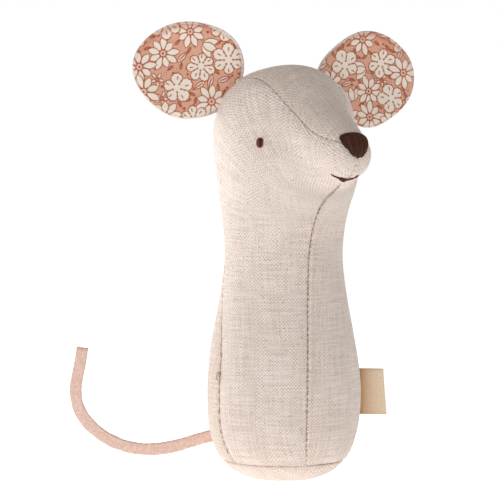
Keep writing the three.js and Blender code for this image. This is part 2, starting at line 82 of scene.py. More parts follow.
def aimed(obj, place, target):
    """Puts obj at place, looking at target."""
    direction = np.array(target, float) - np.array(place, float)
    obj.location = place
    obj.rotation_mode = "QUATERNION"
    obj.rotation_quaternion = Vector(direction).to_track_quat("-Z", "Y")
    bpy.context.scene.collection.objects.link(obj)
    return obj


def make_camera():
    data = bpy.data.cameras.new("camera")
    data.lens = data.sensor_width * CAMERA_DISTANCE / VIEW_WIDTH
    data.clip_start = 0.05
    data.clip_end = 20
    target = np.array([0, 0, VIEW_HEIGHT]) - IMAGE_RIGHT * VIEW_SIDESTEP
    level = math.cos(CAMERA_ELEVATION)
    back = TO_CAMERA * level + UP * math.sin(CAMERA_ELEVATION)
    camera = bpy.data.objects.new("camera", data)
    bpy.context.scene.camera = aimed(camera, target + back * CAMERA_DISTANCE, target)


def area_light(name, right, forward, height, size, watts):
    data = bpy.data.lights.new(name, "AREA")
    data.size = size
    data.energy = watts
    place = IMAGE_RIGHT * right + TO_CAMERA * forward + UP * height
    aimed(bpy.data.objects.new(name, data), place, LAMP_TARGET)


def make_studio():
    """Soft lamps and a white surround, which is brighter to the camera than it is as light."""
    for name, settings in LAMPS.items():
        area_light(name, *settings)
    world = bpy.data.worlds.new("studio")
    world.use_nodes = True
    tree = world.node_tree
    ambient = tree.nodes["Background"]
    ambient.inputs["Strength"].default_value = AMBIENT_STRENGTH
    backdrop = tree.nodes.new("ShaderNodeBackground")
    for background in (ambient, backdrop):
        background.inputs["Color"].default_value = WHITE
    mix = tree.nodes.new("ShaderNodeMixShader")
    seen = tree.nodes.new("ShaderNodeLightPath").outputs["Is Camera Ray"]
    tree.links.new(seen, mix.inputs[0])
    tree.links.new(ambient.outputs[0], mix.inputs[1])
    tree.links.new(backdrop.outputs[0], mix.inputs[2])
    tree.links.new(mix.outputs[0], tree.nodes["World Output"].inputs[0])
    bpy.context.scene.world = world
    bpy.context.scene.view_settings.view_transform = "Standard"


# ---------------------------------------------------------------- the skin, in millimetres

BODY_PROFILE = [  # radius, height: foot, hips, waist, back of the head, crown
    (11, 0), (15.1, 1.6), (18.7, 4.2), (21.6, 7.6), (23.5, 11.8), (25, 18), (25.5, 26), (25.3, 33),
    (24.4, 41), (23, 49), (21.5, 57), (20.4, 65), (19.7, 72), (19.7, 78), (20.4, 85), (21.2, 92),
    (22.1, 99), (22.9, 105), (23.4, 111), (23.1, 117), (21.9, 122), (19.7, 126.8), (16.2, 130.3),
    (11.5, 132.8), (5.9, 133.9), (0, 134.1),
]
CROWN_HEIGHT = BODY_PROFILE[-1][1]
FOREHEAD = ((0, -4.9, 117.1), 17.5, (0, -39.3, 106.6), 8.5)  # start, radius, end, radius
JAW = ((0, -9.3, 103), 19.1, (0, -36.8, 104.9), 7.7)
MUZZLE_BLEND = 7.3
CONE_BLEND = 1
MUZZLE_TIP = np.array(FOREHEAD[2])
NORMAL_STEP = 0.5
RAY_LENGTH = 80.0

NECK_STATION = 6  # the last level cut
THROAT_FORWARD = 34  # the cuts through the neck and head fan about this point
THROAT_HEIGHT = 84
CROWN_REACH = 18
STATIONS = np.array([  # forward, height, and the angles of the front, right and left seams
    (0, 5.8, -8, -80, 72), (0, 15, -11, -85, 70), (0, 30, -11, -85, 70), (0, 44, -9.5, -88, 76),
    (0, 58, -7, -102, 92), (0, 72, -4, -113, 108), (0, 84, -0.5, -118, 118), (3, 97, 0, -127, 127),
    (11, 107.5, 0, -144, 144), (16, 109, 0, -151, 151), (22, 109, 0, -150, 150),
    (28, 108, 0, -140.5, 140.5), (34, 106.5, 0, -130, 130), (41, 106, 0, -127.5, 127.5),
    (47.2, 106.2, 0, -134, 134), (47.75, 106.5, 0, -140, 140),
], float)


def spline(values, at):
    """A Catmull-Rom curve through values, at positions counted in values."""
    values = np.asarray(values, float)
    at = np.asarray(at, float)
    i = np.clip(at.astype(int), 0, len(values) - 2)
    t = (at - i).reshape(at.shape + (1,) * (values.ndim - 1))
    p0, p1 = values[np.maximum(i - 1, 0)], values[i]
    p2, p3 = values[i + 1], values[np.minimum(i + 2, len(values) - 1)]
    bend = (2 * p0 - 5 * p1 + 4 * p2 - p3) * t * t + (3 * p1 - p0 - 3 * p2 + p3) * t ** 3
    return (2 * p1 + (p2 - p0) * t + bend) / 2


def travelled_along(points, axis=0):
    """The distance run along a row of points, up to each of them."""
    step = np.linalg.norm(np.diff(points, axis=axis), axis=-1)
    start = np.zeros_like(np.take(step, [0], axis=axis))
    return np.concatenate([start, np.cumsum(step, axis=axis)], axis=axis)


def smooth_line(points, count):
    """count points, evenly spaced along a smooth curve through the given ones."""
    dense = spline(points, np.linspace(0, len(points) - 1, 40 * len(points)))
    travelled = travelled_along(dense)
    wanted = np.linspace(0, travelled[-1], count)
    return np.stack([np.interp(wanted, travelled, dense[:, k]) for k in range(dense.shape[1])], axis=1)


TABLE_STEP = 0.4
TABLE_RADII = np.arange(0, 64, TABLE_STEP)
TABLE_HEIGHTS = np.arange(-12, 160, TABLE_STEP)


def body_distance_table():
    """The signed distance to the turned body, over radius and height."""
    outline = spline(BODY_PROFILE, np.linspace(0, len(BODY_PROFILE) - 1, 8 * len(BODY_PROFILE)))
    corners = np.vstack([[0, 0], outline])
    radius, height = np.meshgrid(TABLE_RADII, TABLE_HEIGHTS, indexing="ij")
    nearest = np.full(radius.shape, np.inf)
    for (r0, z0), (r1, z1) in zip(corners[:-1], corners[1:]):
        step_r, step_z = r1 - r0, z1 - z0
        share = ((radius - r0) * step_r + (height - z0) * step_z) / (step_r ** 2 + step_z ** 2)
        share = np.clip(share, 0, 1)
        gap = (radius - r0 - step_r * share) ** 2 + (height - z0 - step_z * share) ** 2
        nearest = np.minimum(nearest, gap)
    wall = np.interp(height, outline[:, 1], outline[:, 0])
    inside = (height > 0) & (height < CROWN_HEIGHT) & (radius < wall)
    return np.sqrt(nearest) * np.where(inside, -1, 1)


BODY_TABLE = body_distance_table()


def body_distance(p):
    r = np.clip(np.hypot(p[..., 0], p[..., 1]) / TABLE_STEP, 0, len(TABLE_RADII) - 1.001)
    z = np.clip((p[..., 2] - TABLE_HEIGHTS[0]) / TABLE_STEP, 0, len(TABLE_HEIGHTS) - 1.001)
    i, j = r.astype(int), z.astype(int)
    a, b = r - i, z - j
    low = BODY_TABLE[i, j] * (1 - b) + BODY_TABLE[i, j + 1] * b
    high = BODY_TABLE[i + 1, j] * (1 - b) + BODY_TABLE[i + 1, j + 1] * b
    return low * (1 - a) + high * a


def round_cone_distance(p, cone):
    """The signed distance to two spheres of different radius and the cone that joins them."""
    start, start_radius, end, end_radius = cone
    axis = np.subtract(end, start)
    length2 = axis @ axis
    fall = start_radius - end_radius
    wall2 = length2 - fall * fall
    from_start = p - np.array(start)
    along = from_start @ axis
    beyond = along - length2
    across2 = ((from_start * length2 - along[..., None] * axis) ** 2).sum(-1)
    along2 = along ** 2 * length2
    beyond2 = beyond ** 2 * length2
    edge = np.sign(fall) * fall * fall * across2
    wall = (np.sqrt(across2 * wall2 / length2) + along * fall) / length2 - start_radius
    first = np.sqrt(across2 + along2) / length2 - start_radius
    last = np.sqrt(across2 + beyond2) / length2 - end_radius
    at_first = np.sign(along) * wall2 * along2 < edge
    at_last = np.sign(beyond) * wall2 * beyond2 > edge
    return np.where(at_last, last, np.where(at_first, first, wall))


def smooth_min(a, b, blend):
    """The smaller of two distances, with the corner between them rounded off."""
    overlap = np.maximum(blend - np.abs(a - b), 0) / blend
    return np.minimum(a, b) - overlap * overlap * blend / 4


def skin_distance(p):
    """The signed distance to the whole toy's skin."""
    cones = smooth_min(round_cone_distance(p, FOREHEAD), round_cone_distance(p, JAW), CONE_BLEND)
    return smooth_min(body_distance(p), cones, MUZZLE_BLEND)


def skin_normals(p):
    steps = np.eye(3) * NORMAL_STEP
    slope = np.stack([skin_distance(p + s) - skin_distance(p - s) for s in steps], axis=-1)
    return slope / np.maximum(np.linalg.norm(slope, axis=-1, keepdims=True), 1e-9)


def unit(vectors):
    return vectors / np.linalg.norm(vectors, axis=-1, keepdims=True)


def cast_to_skin(origin, direction, outside=0.0):
    """The points on rays from inside that lie that far outside the skin."""
    origin, direction = np.broadcast_arrays(np.asarray(origin, float), np.asarray(direction, float))
    direction = unit(direction)
    near = np.zeros(origin.shape[:-1])
    far = np.full(origin.shape[:-1], RAY_LENGTH)
    for _ in range(22):
        middle = (near + far) / 2
        inside = skin_distance(origin + direction * middle[..., None]) < outside
        near = np.where(inside, middle, near)
        far = np.where(inside, far, middle)
    return origin + direction * near[..., None]


def stations_at(position):
    """The middle, the tilt and the seam angles of the cuts at these positions.

    The right seam also stands under "right_again", a full turn on, to close the back panel."""
    forward, height, front, right, left = spline(STATIONS, position).T
    rise = height - THROAT_HEIGHT
    reach = THROAT_FORWARD - forward
    tilt = np.where(rise <= 0, 0, np.arctan2(rise, np.maximum(reach, 0)))
    tilt = np.where(reach <= 0, math.pi / 2, tilt)
    seams = {"front": front, "right": right, "left": left, "right_again": right + 360}
    return {"forward": forward, "height": height, "tilt": tilt, **seams}


def spaced_positions(count):
    """Positions from the base seam to the muzzle's tip, evenly spaced along the body."""
    position = np.linspace(0, len(STATIONS) - 1, 3000)
    cut = stations_at(position)
    step = np.hypot(np.diff(cut["forward"]), np.diff(cut["height"]))
    step += CROWN_REACH * np.abs(np.diff(cut["tilt"]))
    travelled = np.concatenate([[0], np.cumsum(step)])
    return np.interp(np.linspace(0, travelled[-1], count), travelled, position)


def on_cut(cut, degrees):
    """Points of the skin on each cut, at angles given for each: 0 is the belly side, 180 the back."""
    turn = np.radians(degrees)
    tilt = cut["tilt"][:, None]
    zero = np.zeros_like(turn)
    down = -np.cos(turn)
    direction = np.stack([np.sin(turn), np.cos(tilt) * down, np.sin(tilt) * down], axis=-1)
    origin = np.stack([zero, zero - cut["forward"][:, None], zero + cut["height"][:, None]], axis=-1)
    return cast_to_skin(origin, direction)


def position_at_height(height):
    """The position of the level cut at this height, below the neck."""
    position = np.linspace(0, NECK_STATION, 1200)
    return np.interp(height, stations_at(position)["height"], position)


def seam_point(position, seam, outside=0.0, across=0.0):
    """Points on a seam, moved across it by millimetres and outside the skin."""
    cut = stations_at(np.atleast_1d(position))
    on_seam = on_cut(cut, cut[seam][:, None])[:, 0]
    middle = np.stack([0 * cut["height"], -cut["forward"], cut["height"]], axis=-1)
    turn = np.degrees(across / np.linalg.norm(on_seam - middle, axis=-1))
    moved = on_cut(cut, (cut[seam] + turn)[:, None])[:, 0]
    return moved + skin_normals(moved) * np.asarray(outside)[..., None]


# ---------------------------------------------------------------- meshes

CLOTH_MAP = "Cloth"  # the UV map that lays the weave, in millimetres
PAINTED_SHADE_ATTRIBUTE = "seam_shade"  # the point attribute of painted shade: how much the cloth is darkened where it lies deep in a seam or against the head


def waves(p, wavelength, seed, count=9):
    """Smooth seeded lumps of about that wavelength, from -1 to 1."""
    random = np.random.default_rng(seed)
    total = np.zeros(p.shape[:-1])
    for _ in range(count):
        heading = random.normal(size=p.shape[-1])
        heading *= 2 * math.pi / (wavelength * random.uniform(0.7, 1.5) * np.linalg.norm(heading))
        total += np.sin(p @ heading + random.uniform(0, 2 * math.pi))
    return total / (0.45 * count)


def grid_faces(rows, columns, closed=False):
    """Quads over a grid of points. With closed, the last column joins the first."""
    row, column = np.meshgrid(np.arange(rows - 1), np.arange(columns - (not closed)), indexing="ij")
    beside = (column + 1) % columns
    corners = [row * columns + column, row * columns + beside, (row + 1) * columns + beside]
    corners.append((row + 1) * columns + column)
    return np.stack(corners, axis=-1).reshape(-1, 4).tolist()


def make_mesh(name, points, faces, uv=None, attributes=None):
    """A smooth object from points in millimetres."""
    mesh = bpy.data.meshes.new(name)
    mesh.from_pydata((np.asarray(points).reshape(-1, 3) * MM).tolist(), [], faces)
    mesh.polygons.foreach_set("use_smooth", np.ones(len(mesh.polygons), bool))
    if uv is not None:
        corner = np.zeros(len(mesh.loops), int)
        mesh.loops.foreach_get("vertex_index", corner)
        layer = mesh.uv_layers.new(name=CLOTH_MAP)
        layer.data.foreach_set("uv", np.asarray(uv, float).reshape(-1, 2)[corner].ravel())
    for key, values in (attributes or {}).items():
        values = np.asarray(values, float)
        if values.ndim > 1 and values.shape[-1] == 3:
            data = mesh.attributes.new(key, "FLOAT_COLOR", "POINT").data
            rgba = np.concatenate([values.reshape(-1, 3), np.ones((values.size // 3, 1))], axis=1)
            data.foreach_set("color", rgba.ravel())
        else:
            mesh.attributes.new(key, "FLOAT", "POINT").data.foreach_set("value", values.ravel())
    mesh.update()
    obj = bpy.data.objects.new(name, mesh)
    bpy.context.scene.collection.objects.link(obj)
    return obj


def circle_angles(count):
    return 2 * math.pi * np.arange(count) / count


def tube_faces(rings, sides):
    """Faces of a tube of rings, closed by fans to two more points: the first ring's, then the last's."""
    first = rings * sides
    base = first - sides
    faces = grid_faces(rings, sides, closed=True)
    faces += [[first, (k + 1) % sides, k] for k in range(sides)]
    return faces + [[first + 1, base + k, base + (k + 1) % sides] for k in range(sides)]


def thicken(obj, thickness, offset=-1):
    """Gives an open sheet its cloth's thickness, in millimetres."""
    modifier = obj.modifiers.new("cloth", "SOLIDIFY")
    modifier.thickness = thickness * MM
    modifier.offset = offset
    modifier.use_quality_normals = True


class Bundle:
    """Points and faces of many small shapes, gathered into one mesh."""

    def __init__(self):
        self.points, self.faces, self.shades, self.count = [], [], [], 0

    def add(self, points, faces, shade=0.0):
        self.points.append(points)
        self.faces += [[self.count + i for i in face] for face in faces]
        self.shades.append(np.full(len(points), shade))
        self.count += len(points)

    def rod(self, line, radii, sides=6, shade=0.0, flatten=1.0, normals=None):
        """A thread along a line of points, closed at both ends. flatten squeezes it along normals."""
        line = np.asarray(line, float)
        radii = np.broadcast_to(np.asarray(radii, float), len(line))
        ahead = unit(np.gradient(line, axis=0))
        if normals is None:
            normals = np.tile([0.31, 0.2, 0.93], (len(line), 1))
        side = unit(np.cross(ahead, normals))
        up = np.cross(side, ahead)
        turn = circle_angles(sides)
        across = np.cos(turn)[None, :, None] * side[:, None]
        rise = flatten * np.sin(turn)[None, :, None] * up[:, None]
        rings = line[:, None] + radii[:, None, None] * (across + rise)
        tips = [line[0] - ahead[0] * radii[0] * 0.6, line[-1] + ahead[-1] * radii[-1] * 0.6]
        points = np.vstack([rings.reshape(-1, 3), *tips])
        self.add(points, tube_faces(len(line), sides), shade)

    def build(self, name):
        """One mesh of all that was added. Its strand attribute says how light each thread is."""
        strand = {"strand": np.concatenate(self.shades)}
        return make_mesh(name, np.vstack(self.points), self.faces, attributes=strand)


# ---------------------------------------------------------------- materials


def rgb(code):
    """A linear colour from an sRGB hex code."""
    channels = [int(code[i:i + 2], 16) / 255 for i in (1, 3, 5)]
    return tuple(c / 12.92 if c <= 0.04045 else ((c + 0.055) / 1.055) ** 2.4 for c in channels) + (1,)


class Shader:
    """A material's node tree, with one short call for each kind of node it needs."""

    def __init__(self, name, roughness, sheen=0.0, specular=0.3):
        self.material = bpy.data.materials.new(name)
        self.material.use_nodes = True
        self.tree = self.material.node_tree
        self.surface = self.tree.nodes["Principled BSDF"]
        self.surface.inputs["Roughness"].default_value = roughness
        self.surface.inputs["Sheen Weight"].default_value = sheen
        self.surface.inputs["Sheen Roughness"].default_value = 0.5
        self.surface.inputs["Specular IOR Level"].default_value = specular

    def node(self, kind, inputs, **settings):
        made = self.tree.nodes.new(kind)
        for key, value in settings.items():
            setattr(made, key, value)
        for key, value in inputs.items():
            if isinstance(value, bpy.types.NodeSocket):
                self.tree.links.new(value, made.inputs[key])
            else:
                made.inputs[key].default_value = value
        return made

    def maths(self, operation, *values):
        return self.node("ShaderNodeMath", dict(enumerate(values)), operation=operation).outputs[0]

    def times(self, a, b):
        return self.maths("MULTIPLY", a, b)

    def plus(self, a, b):
        return self.maths("ADD", a, b)

    def wave(self, value, per_unit):
        """The sine of a value, at that many radians for each unit."""
        return self.maths("SINE", self.times(value, per_unit))

    def attribute(self, name, output="Fac"):
        return self.node("ShaderNodeAttribute", {}, attribute_name=name).outputs[output]

    def cloth_map(self):
        """The weave's own coordinates in millimetres, as two sockets."""
        uv = self.node("ShaderNodeUVMap", {}, uv_map=CLOTH_MAP).outputs[0]
        split = self.node("ShaderNodeSeparateXYZ", {0: uv})
        return split.outputs[0], split.outputs[1]

    def object_point(self):
        return self.node("ShaderNodeTexCoord", {}).outputs["Object"]

    def point(self, x, y):
        return self.node("ShaderNodeCombineXYZ", {0: x, 1: y}).outputs[0]

    def stretched_noise(self, u, v, across, along, detail=2.0):
        """Noise with that many lumps in a millimetre each way."""
        at = self.point(self.times(u, across), self.times(v, along))
        settings = {"Vector": at, "Scale": 1.0, "Detail": detail, "Roughness": 0.55}
        return self.node("ShaderNodeTexNoise", settings, noise_dimensions="2D").outputs["Fac"]

    def noise(self, vector, scale, detail=3.0, roughness=0.55):
        settings = {"Vector": vector, "Scale": scale, "Detail": detail, "Roughness": roughness}
        return self.node("ShaderNodeTexNoise", settings).outputs["Fac"]

    def ramp(self, value, low, high, to_low=0.0, to_high=1.0):
        settings = {"Value": value, "From Min": low, "From Max": high, "To Min": to_low, "To Max": to_high}
        return self.node("ShaderNodeMapRange", settings).outputs[0]

    def mix(self, share, a, b):
        return self.node("ShaderNodeMix", {0: share, 6: a, 7: b}, data_type="RGBA").outputs[2]

    def bump(self, height, depth):
        """Relief from a height of 0 to 1 that stands for depth millimetres."""
        made = self.node("ShaderNodeBump", {"Height": height, "Distance": depth * MM, "Strength": 1.0})
        self.tree.links.new(made.outputs[0], self.surface.inputs["Normal"])

    def color(self, socket):
        self.tree.links.new(socket, self.surface.inputs["Base Color"])

    def weave(self, pitch, wander):
        """A plain weave of threads that wander: its map, its height and the streaks of thick threads."""
        u, v = self.cloth_map()
        drift_u = self.times(self.ramp(self.stretched_noise(u, v, 0.16, 0.05), 0, 1, -1, 1), wander)
        drift_v = self.times(self.ramp(self.stretched_noise(u, v, 0.05, 0.17), 0, 1, -1, 1), wander)
        warp = self.wave(self.plus(u, drift_u), math.pi / pitch)
        weft = self.wave(self.plus(v, drift_v), math.pi / pitch)
        height = self.maths("MULTIPLY_ADD", self.times(warp, weft), 0.5, 0.5)
        thick_weft = self.stretched_noise(u, v, 0.08, 1.9)
        thick_warp = self.stretched_noise(v, u, 0.07, 1.8)
        return u, v, height, thick_weft, thick_warp


def linen_material(name, light, dark, fleck_and_shade):
    """Undyed linen: a plain weave with slubs, paler and darker threads, flecks of flax, and painted shade
    deep in its seams.
    """
    s = Shader(name, 0.92, sheen=0.25, specular=0.18)
    u, v, height, weft, warp = s.weave(LINEN_PITCH, 0.9)
    streaks = s.plus(s.ramp(weft, 0.3, 0.72, -0.5, 0.5), s.ramp(warp, 0.3, 0.72, -0.35, 0.35))
    lightness = s.plus(s.times(height, 0.85), s.maths("MULTIPLY_ADD", streaks, 0.42, 0.1))
    color = s.mix(s.ramp(lightness, 0, 1), dark, light)
    patches = s.ramp(s.stretched_noise(u, v, 0.07, 0.05, 3.0), 0.35, 0.7, 0, 0.2)
    color = s.mix(patches, color, dark)
    for one_way, other_way, rarity, strength in ((u, v, 0.73, 0.65), (v, u, 0.74, 0.5)):
        specks = s.stretched_noise(one_way, other_way, 0.6, 1.9, 1.0)
        color = s.mix(s.ramp(specks, rarity, rarity + 0.05, 0, strength), color, fleck_and_shade)
    # Painted shade: the cloth is darkened towards the fleck colour where the point attribute of painted
    # shade is high.
    s.color(s.mix(s.times(s.attribute(PAINTED_SHADE_ATTRIBUTE), 0.4), color, fleck_and_shade))
    s.bump(s.plus(s.times(height, 0.6), s.times(streaks, 0.45)), 0.22)
    return s.material


LINEN_PITCH = 0.56  # from one thread to the next, in millimetres
PRINT_PITCH = 0.4
RIB_PITCH = 0.8
LINEN = linen_material("linen", rgb("#F5EBE4"), rgb("#C9B3A5"), rgb("#9B775F"))
# A slightly darker copy of the linen: painted shade for the crown and back panel.
SHADED_CROWN_LINEN = linen_material("crown_linen", rgb("#F1E4DA"), rgb("#C5AF9F"), rgb("#977660"))


def thread_material(name, light, dark, roughness=0.5):
    """Embroidery thread, darker between its plies, each strand a little different."""
    s = Shader(name, roughness, specular=0.22)
    at = s.object_point()
    grain = s.noise(at, 2600, 2.0)
    shade = s.plus(s.attribute("strand"), s.ramp(grain, 0.3, 0.7, -0.25, 0.25))
    s.color(s.mix(s.ramp(shade, 0, 1), dark, light))
    s.bump(grain, 0.08)
    return s.material


NOSE_THREAD = thread_material("nose_thread", rgb("#6E3A1B"), rgb("#210D05"), 0.5)
EYE_THREAD = thread_material("eye_thread", rgb("#8A4A24"), rgb("#2E1308"), 0.5)
MOUTH_THREAD = thread_material("mouth_thread", rgb("#733A20"), rgb("#3E1B0D"), 0.55)
SEAM_THREAD = thread_material("seam_thread", rgb("#CBB39D"), rgb("#967A62"), 0.7)


def suede_material():
    """Pink-tan suede: short nap in soft patches, darker along its cut edges."""
    s = Shader("suede", 0.95, sheen=0.6, specular=0.1)
    at = s.object_point()
    nap = s.noise(at, 1400, 4.0, 0.7)
    patches = s.noise(at, 190, 2.0)
    color = s.mix(s.ramp(nap, 0.3, 0.7), rgb("#D0A897"), rgb("#F0D7CB"))
    color = s.mix(s.ramp(patches, 0.35, 0.7, 0, 0.35), color, rgb("#DBB7A6"))
    s.color(s.mix(s.attribute("edge"), color, rgb("#A87864")))
    s.bump(nap, 0.12)
    return s.material


def ribbon_material():
    """A woven ribbon with a fine horizontal rib and a denser selvedge."""
    s = Shader("ribbon", 0.7, sheen=0.35, specular=0.3)
    u, v = s.cloth_map()
    rib = s.maths("MULTIPLY_ADD", s.wave(u, 2 * math.pi / RIB_PITCH), 0.5, 0.5)
    yarn = s.stretched_noise(u, v, 1.6, 1.6)
    lightness = s.ramp(s.plus(s.times(rib, 0.25), yarn), 0.2, 1.1)
    color = s.mix(lightness, rgb("#E6C9A6"), rgb("#FAEAD6"))
    color = s.mix(s.attribute("selvedge"), color, rgb("#D6B48A"))
    s.color(s.mix(s.attribute("root_shade"), color, rgb("#B4824A")))
    s.bump(s.plus(rib, yarn), 0.04)
    return s.material


def print_material():
    """Printed cotton: the painted pattern, with painted shade darkening it along the ears' rolled rims,
    broken up by a fine weave.
    """
    s = Shader("printed_cotton", 0.85, sheen=0.2, specular=0.2)
    _, _, height, weft, warp = s.weave(PRINT_PITCH, 0.3)
    pattern = s.attribute("print", "Color")
    lightness = s.plus(s.times(height, 0.5), s.times(weft, 0.5))
    s.color(s.mix(s.ramp(lightness, 0.2, 0.8, 0.16, 0), pattern, rgb("#8A5A45")))
    s.bump(s.plus(height, s.times(warp, 0.6)), 0.025)
    return s.material


def fibre_material():
    s = Shader("fibre", 1.0, sheen=0.5, specular=0.1)
    strands = s.noise(s.object_point(), 900, 5.0, 0.75)
    s.color(s.mix(s.ramp(strands, 0.3, 0.7), rgb("#D9D7D0"), rgb("#FBFAF6")))
    s.bump(strands, 0.6)
    return s.material


def plastic_material(name, light, dark, roughness):
    s = Shader(name, roughness, specular=0.5)
    haze = s.noise(s.object_point(), 320, 4.0)
    s.color(s.mix(s.ramp(haze, 0.35, 0.7), dark, light))
    s.bump(s.noise(s.object_point(), 2200, 2.0), 0.02)
    return s.material


def floor_material():
    s = Shader("floor", 0.9, specular=0.1)
    grain = s.noise(s.object_point(), 40, 3.0)
    s.color(s.mix(grain, rgb("#F7F6F4"), rgb("#FBFAF9")))
    s.surface.inputs["Emission Color"].default_value = WHITE
    s.surface.inputs["Emission Strength"].default_value = 0.7
    return s.material


def dress(obj, material, body=None, replaces=()):
    """Gives a piece its finish, the body it rides on and the nodes it stands for."""
    obj.data.materials.clear()
    obj.data.materials.append(material)
    if body:
        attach(obj, body)
    if replaces:
        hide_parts(*replaces)
    return obj


# ---------------------------------------------------------------- the tail, a flat suede lace

TAIL_WIDTH = 4
TAIL_THICKNESS = 1.8
TAIL_ROOT = (-11.6, 11.4)  # along the tail's own plane, height
TAIL_PLANE_YAW = math.radians(-28)
TAIL_PLANE_DEPTH = 22.3
TAIL_POINTS = [
    (-18.4, 11.4), (-25, 10.6), (-31.4, 8.8), (-37.8, 7), (-45.3, 6.1), (-52.9, 7), (-59.2, 9.4),
    (-64.2, 12.9), (-68, 17), (-70.1, 21.4), (-70.8, 26.4), (-70.1, 31.5), (-69.1, 36.3), (-68.4, 41),
]


def nap_relief(surface, depth):
    """Small seeded roughness along X, Y and Z, in millimetres."""
    return depth * np.stack([waves(surface, 1.3, seed=50 + k, count=6) for k in range(3)], axis=-1)


def squared_off(values, power=0.35):
    """Turns the sine or cosine of an oval into that of a rounded rectangle."""
    return np.sign(values) * np.abs(values) ** power


def make_tail():
    points = np.array([TAIL_ROOT] + TAIL_POINTS)
    sideways = np.array([math.cos(TAIL_PLANE_YAW), math.sin(TAIL_PLANE_YAW), 0])
    behind = np.array([-math.sin(TAIL_PLANE_YAW), math.cos(TAIL_PLANE_YAW), 0])
    placed = points[:, :1] * sideways + points[:, 1:] * UP + TAIL_PLANE_DEPTH * behind
    rings, sides = 300, 28
    line = smooth_line(placed, rings)
    width = np.cross(behind, unit(np.gradient(line, axis=0)))
    turn = circle_angles(sides)
    flat, deep = squared_off(np.cos(turn)), squared_off(np.sin(turn))
    travelled = np.linspace(0, 1, rings)
    rough = 1 + 0.035 * waves(line, 5, seed=41)
    half_width = TAIL_WIDTH / 2 * rough
    section = flat[None, :, None] * width[:, None] * half_width[:, None, None]
    section = section + deep[None, :, None] * behind * TAIL_THICKNESS / 2
    surface = line[:, None] + section
    surface += nap_relief(surface, 0.05)
    points = np.vstack([surface.reshape(-1, 3), line[0], line[-1]])
    edge = np.tile(np.clip((np.abs(flat) - 0.86) / 0.14, 0, 1) * 0.75, (rings, 1))
    edge = np.maximum(edge, np.clip((travelled - 0.985) / 0.015, 0, 1)[:, None] * 0.5)
    attributes = {"edge": np.concatenate([edge.ravel(), [0, 0.5]])}
    tail = make_mesh("tail_lace", points, tube_faces(rings, sides), attributes=attributes)
    dress(tail, suede_material(), "tail", ["tail"])


# ---------------------------------------------------------------- the linen body

PANEL_ROWS = 360
SEAM_PITCH = 1.9  # from one machine stitch to the next
LINEN_THICKNESS = 0.7
FOOT_THICKNESS = 0.6
THROAT_DENT = 92
THROAT_FOLDS = ((91.5, 0.22), (94.6, 0.34))  # each fold's height in the middle, and its rise to the sides


def groove(distance):
    """How far the cloth is drawn in by a seam, at a distance from it."""
    return 0.3 * np.exp(-(distance / 0.4) ** 2) + 0.3 * np.exp(-(distance / 2.8) ** 2)


def eased(count):
    """Shares from 0 to 1 that crowd towards both ends."""
    t = np.linspace(0, 1, count)
    return 0.45 * t + 0.55 * (0.5 - 0.5 * np.cos(math.pi * t))


def gathers(distance, along, seed, depth):
    """Small tucks that run out from a seam, where the cloth was eased along it."""
    line = np.stack([along, 0 * along], axis=-1)
    return depth * np.exp(-distance / 2.3) * (1 - np.exp(-(distance / 0.6) ** 2)) * waves(line, 3.1, seed)


def throat_creases(points):
    """The soft dent under the chin, and the little folds that run out from it."""
    x, y, z = points[..., 0], points[..., 1], points[..., 2]
    front = np.clip(-y / 18, 0, 1) * np.exp(-(x / 12) ** 2)
    dent = 0.55 * np.exp(-((z - THROAT_DENT) / 4) ** 2)
    for rise, slope in THROAT_FOLDS:
        fold = 0.28 * np.exp(-((z - rise - slope * np.abs(x)) / 0.55) ** 2)
        dent = dent + fold * np.clip(np.abs(x) / 2, 0, 1)
    return front * dent


def make_panel(name, node, from_seam, to_seam, columns, material, seed, ridge=0.0):
    """The cloth between two seams. ridge is how far its first edge stands up where it is folded under."""
    cut = stations_at(spaced_positions(PANEL_ROWS))
    start, end = cut[from_seam][:, None], cut[to_seam][:, None]
    points = on_cut(cut, start + (end - start) * eased(columns))
    across = travelled_along(points, 1)
    along = travelled_along(points, 0)
    first, last = across, across[:, -1:] - across
    nearest = np.minimum(first, last)
    normals = skin_normals(points)
    inward = groove(smooth_min(nearest, along, 0.8)) * (0.55 + 0.45 * np.clip(along / 8, 0, 1))
    inward += gathers(first, along, seed, 0.2) + gathers(last, along, seed + 1, 0.2)
    inward += gathers(along, across, seed + 2, 0.22)
    inward += 0.22 * waves(points, 26, seed + 3) * (1 - np.exp(-nearest / 5)) + throat_creases(points)
    inward -= ridge * np.exp(-((first - 0.95) / 0.5) ** 2) * (1 - np.exp(-along / 6))
    points = points - normals * inward[..., None]
    # Painted shade along the seams, broken into dashes at the stitch pitch and weaker on the head.
    stitched = 0.5 + 0.5 * np.sin(2 * math.pi * along / SEAM_PITCH) + 0.3 * waves(points, 3, seed + 4)
    shade = np.clip(stitched, 0, 1) * np.exp(-(np.minimum(nearest, along) / 0.32) ** 2)
    shade *= 0.7 + 0.3 * np.clip((88 - points[..., 2]) / 6, 0, 1)
    middle = slice(columns // 2, columns // 2 + 1)
    uv = np.stack([across - across[:, middle], np.tile(along[:, middle], columns)], axis=-1)
    panel = make_mesh(name, points, grid_faces(PANEL_ROWS, columns), uv, {PAINTED_SHADE_ATTRIBUTE: shade})
    thicken(panel, LINEN_THICKNESS)
    dress(panel, material, "torso", [node])


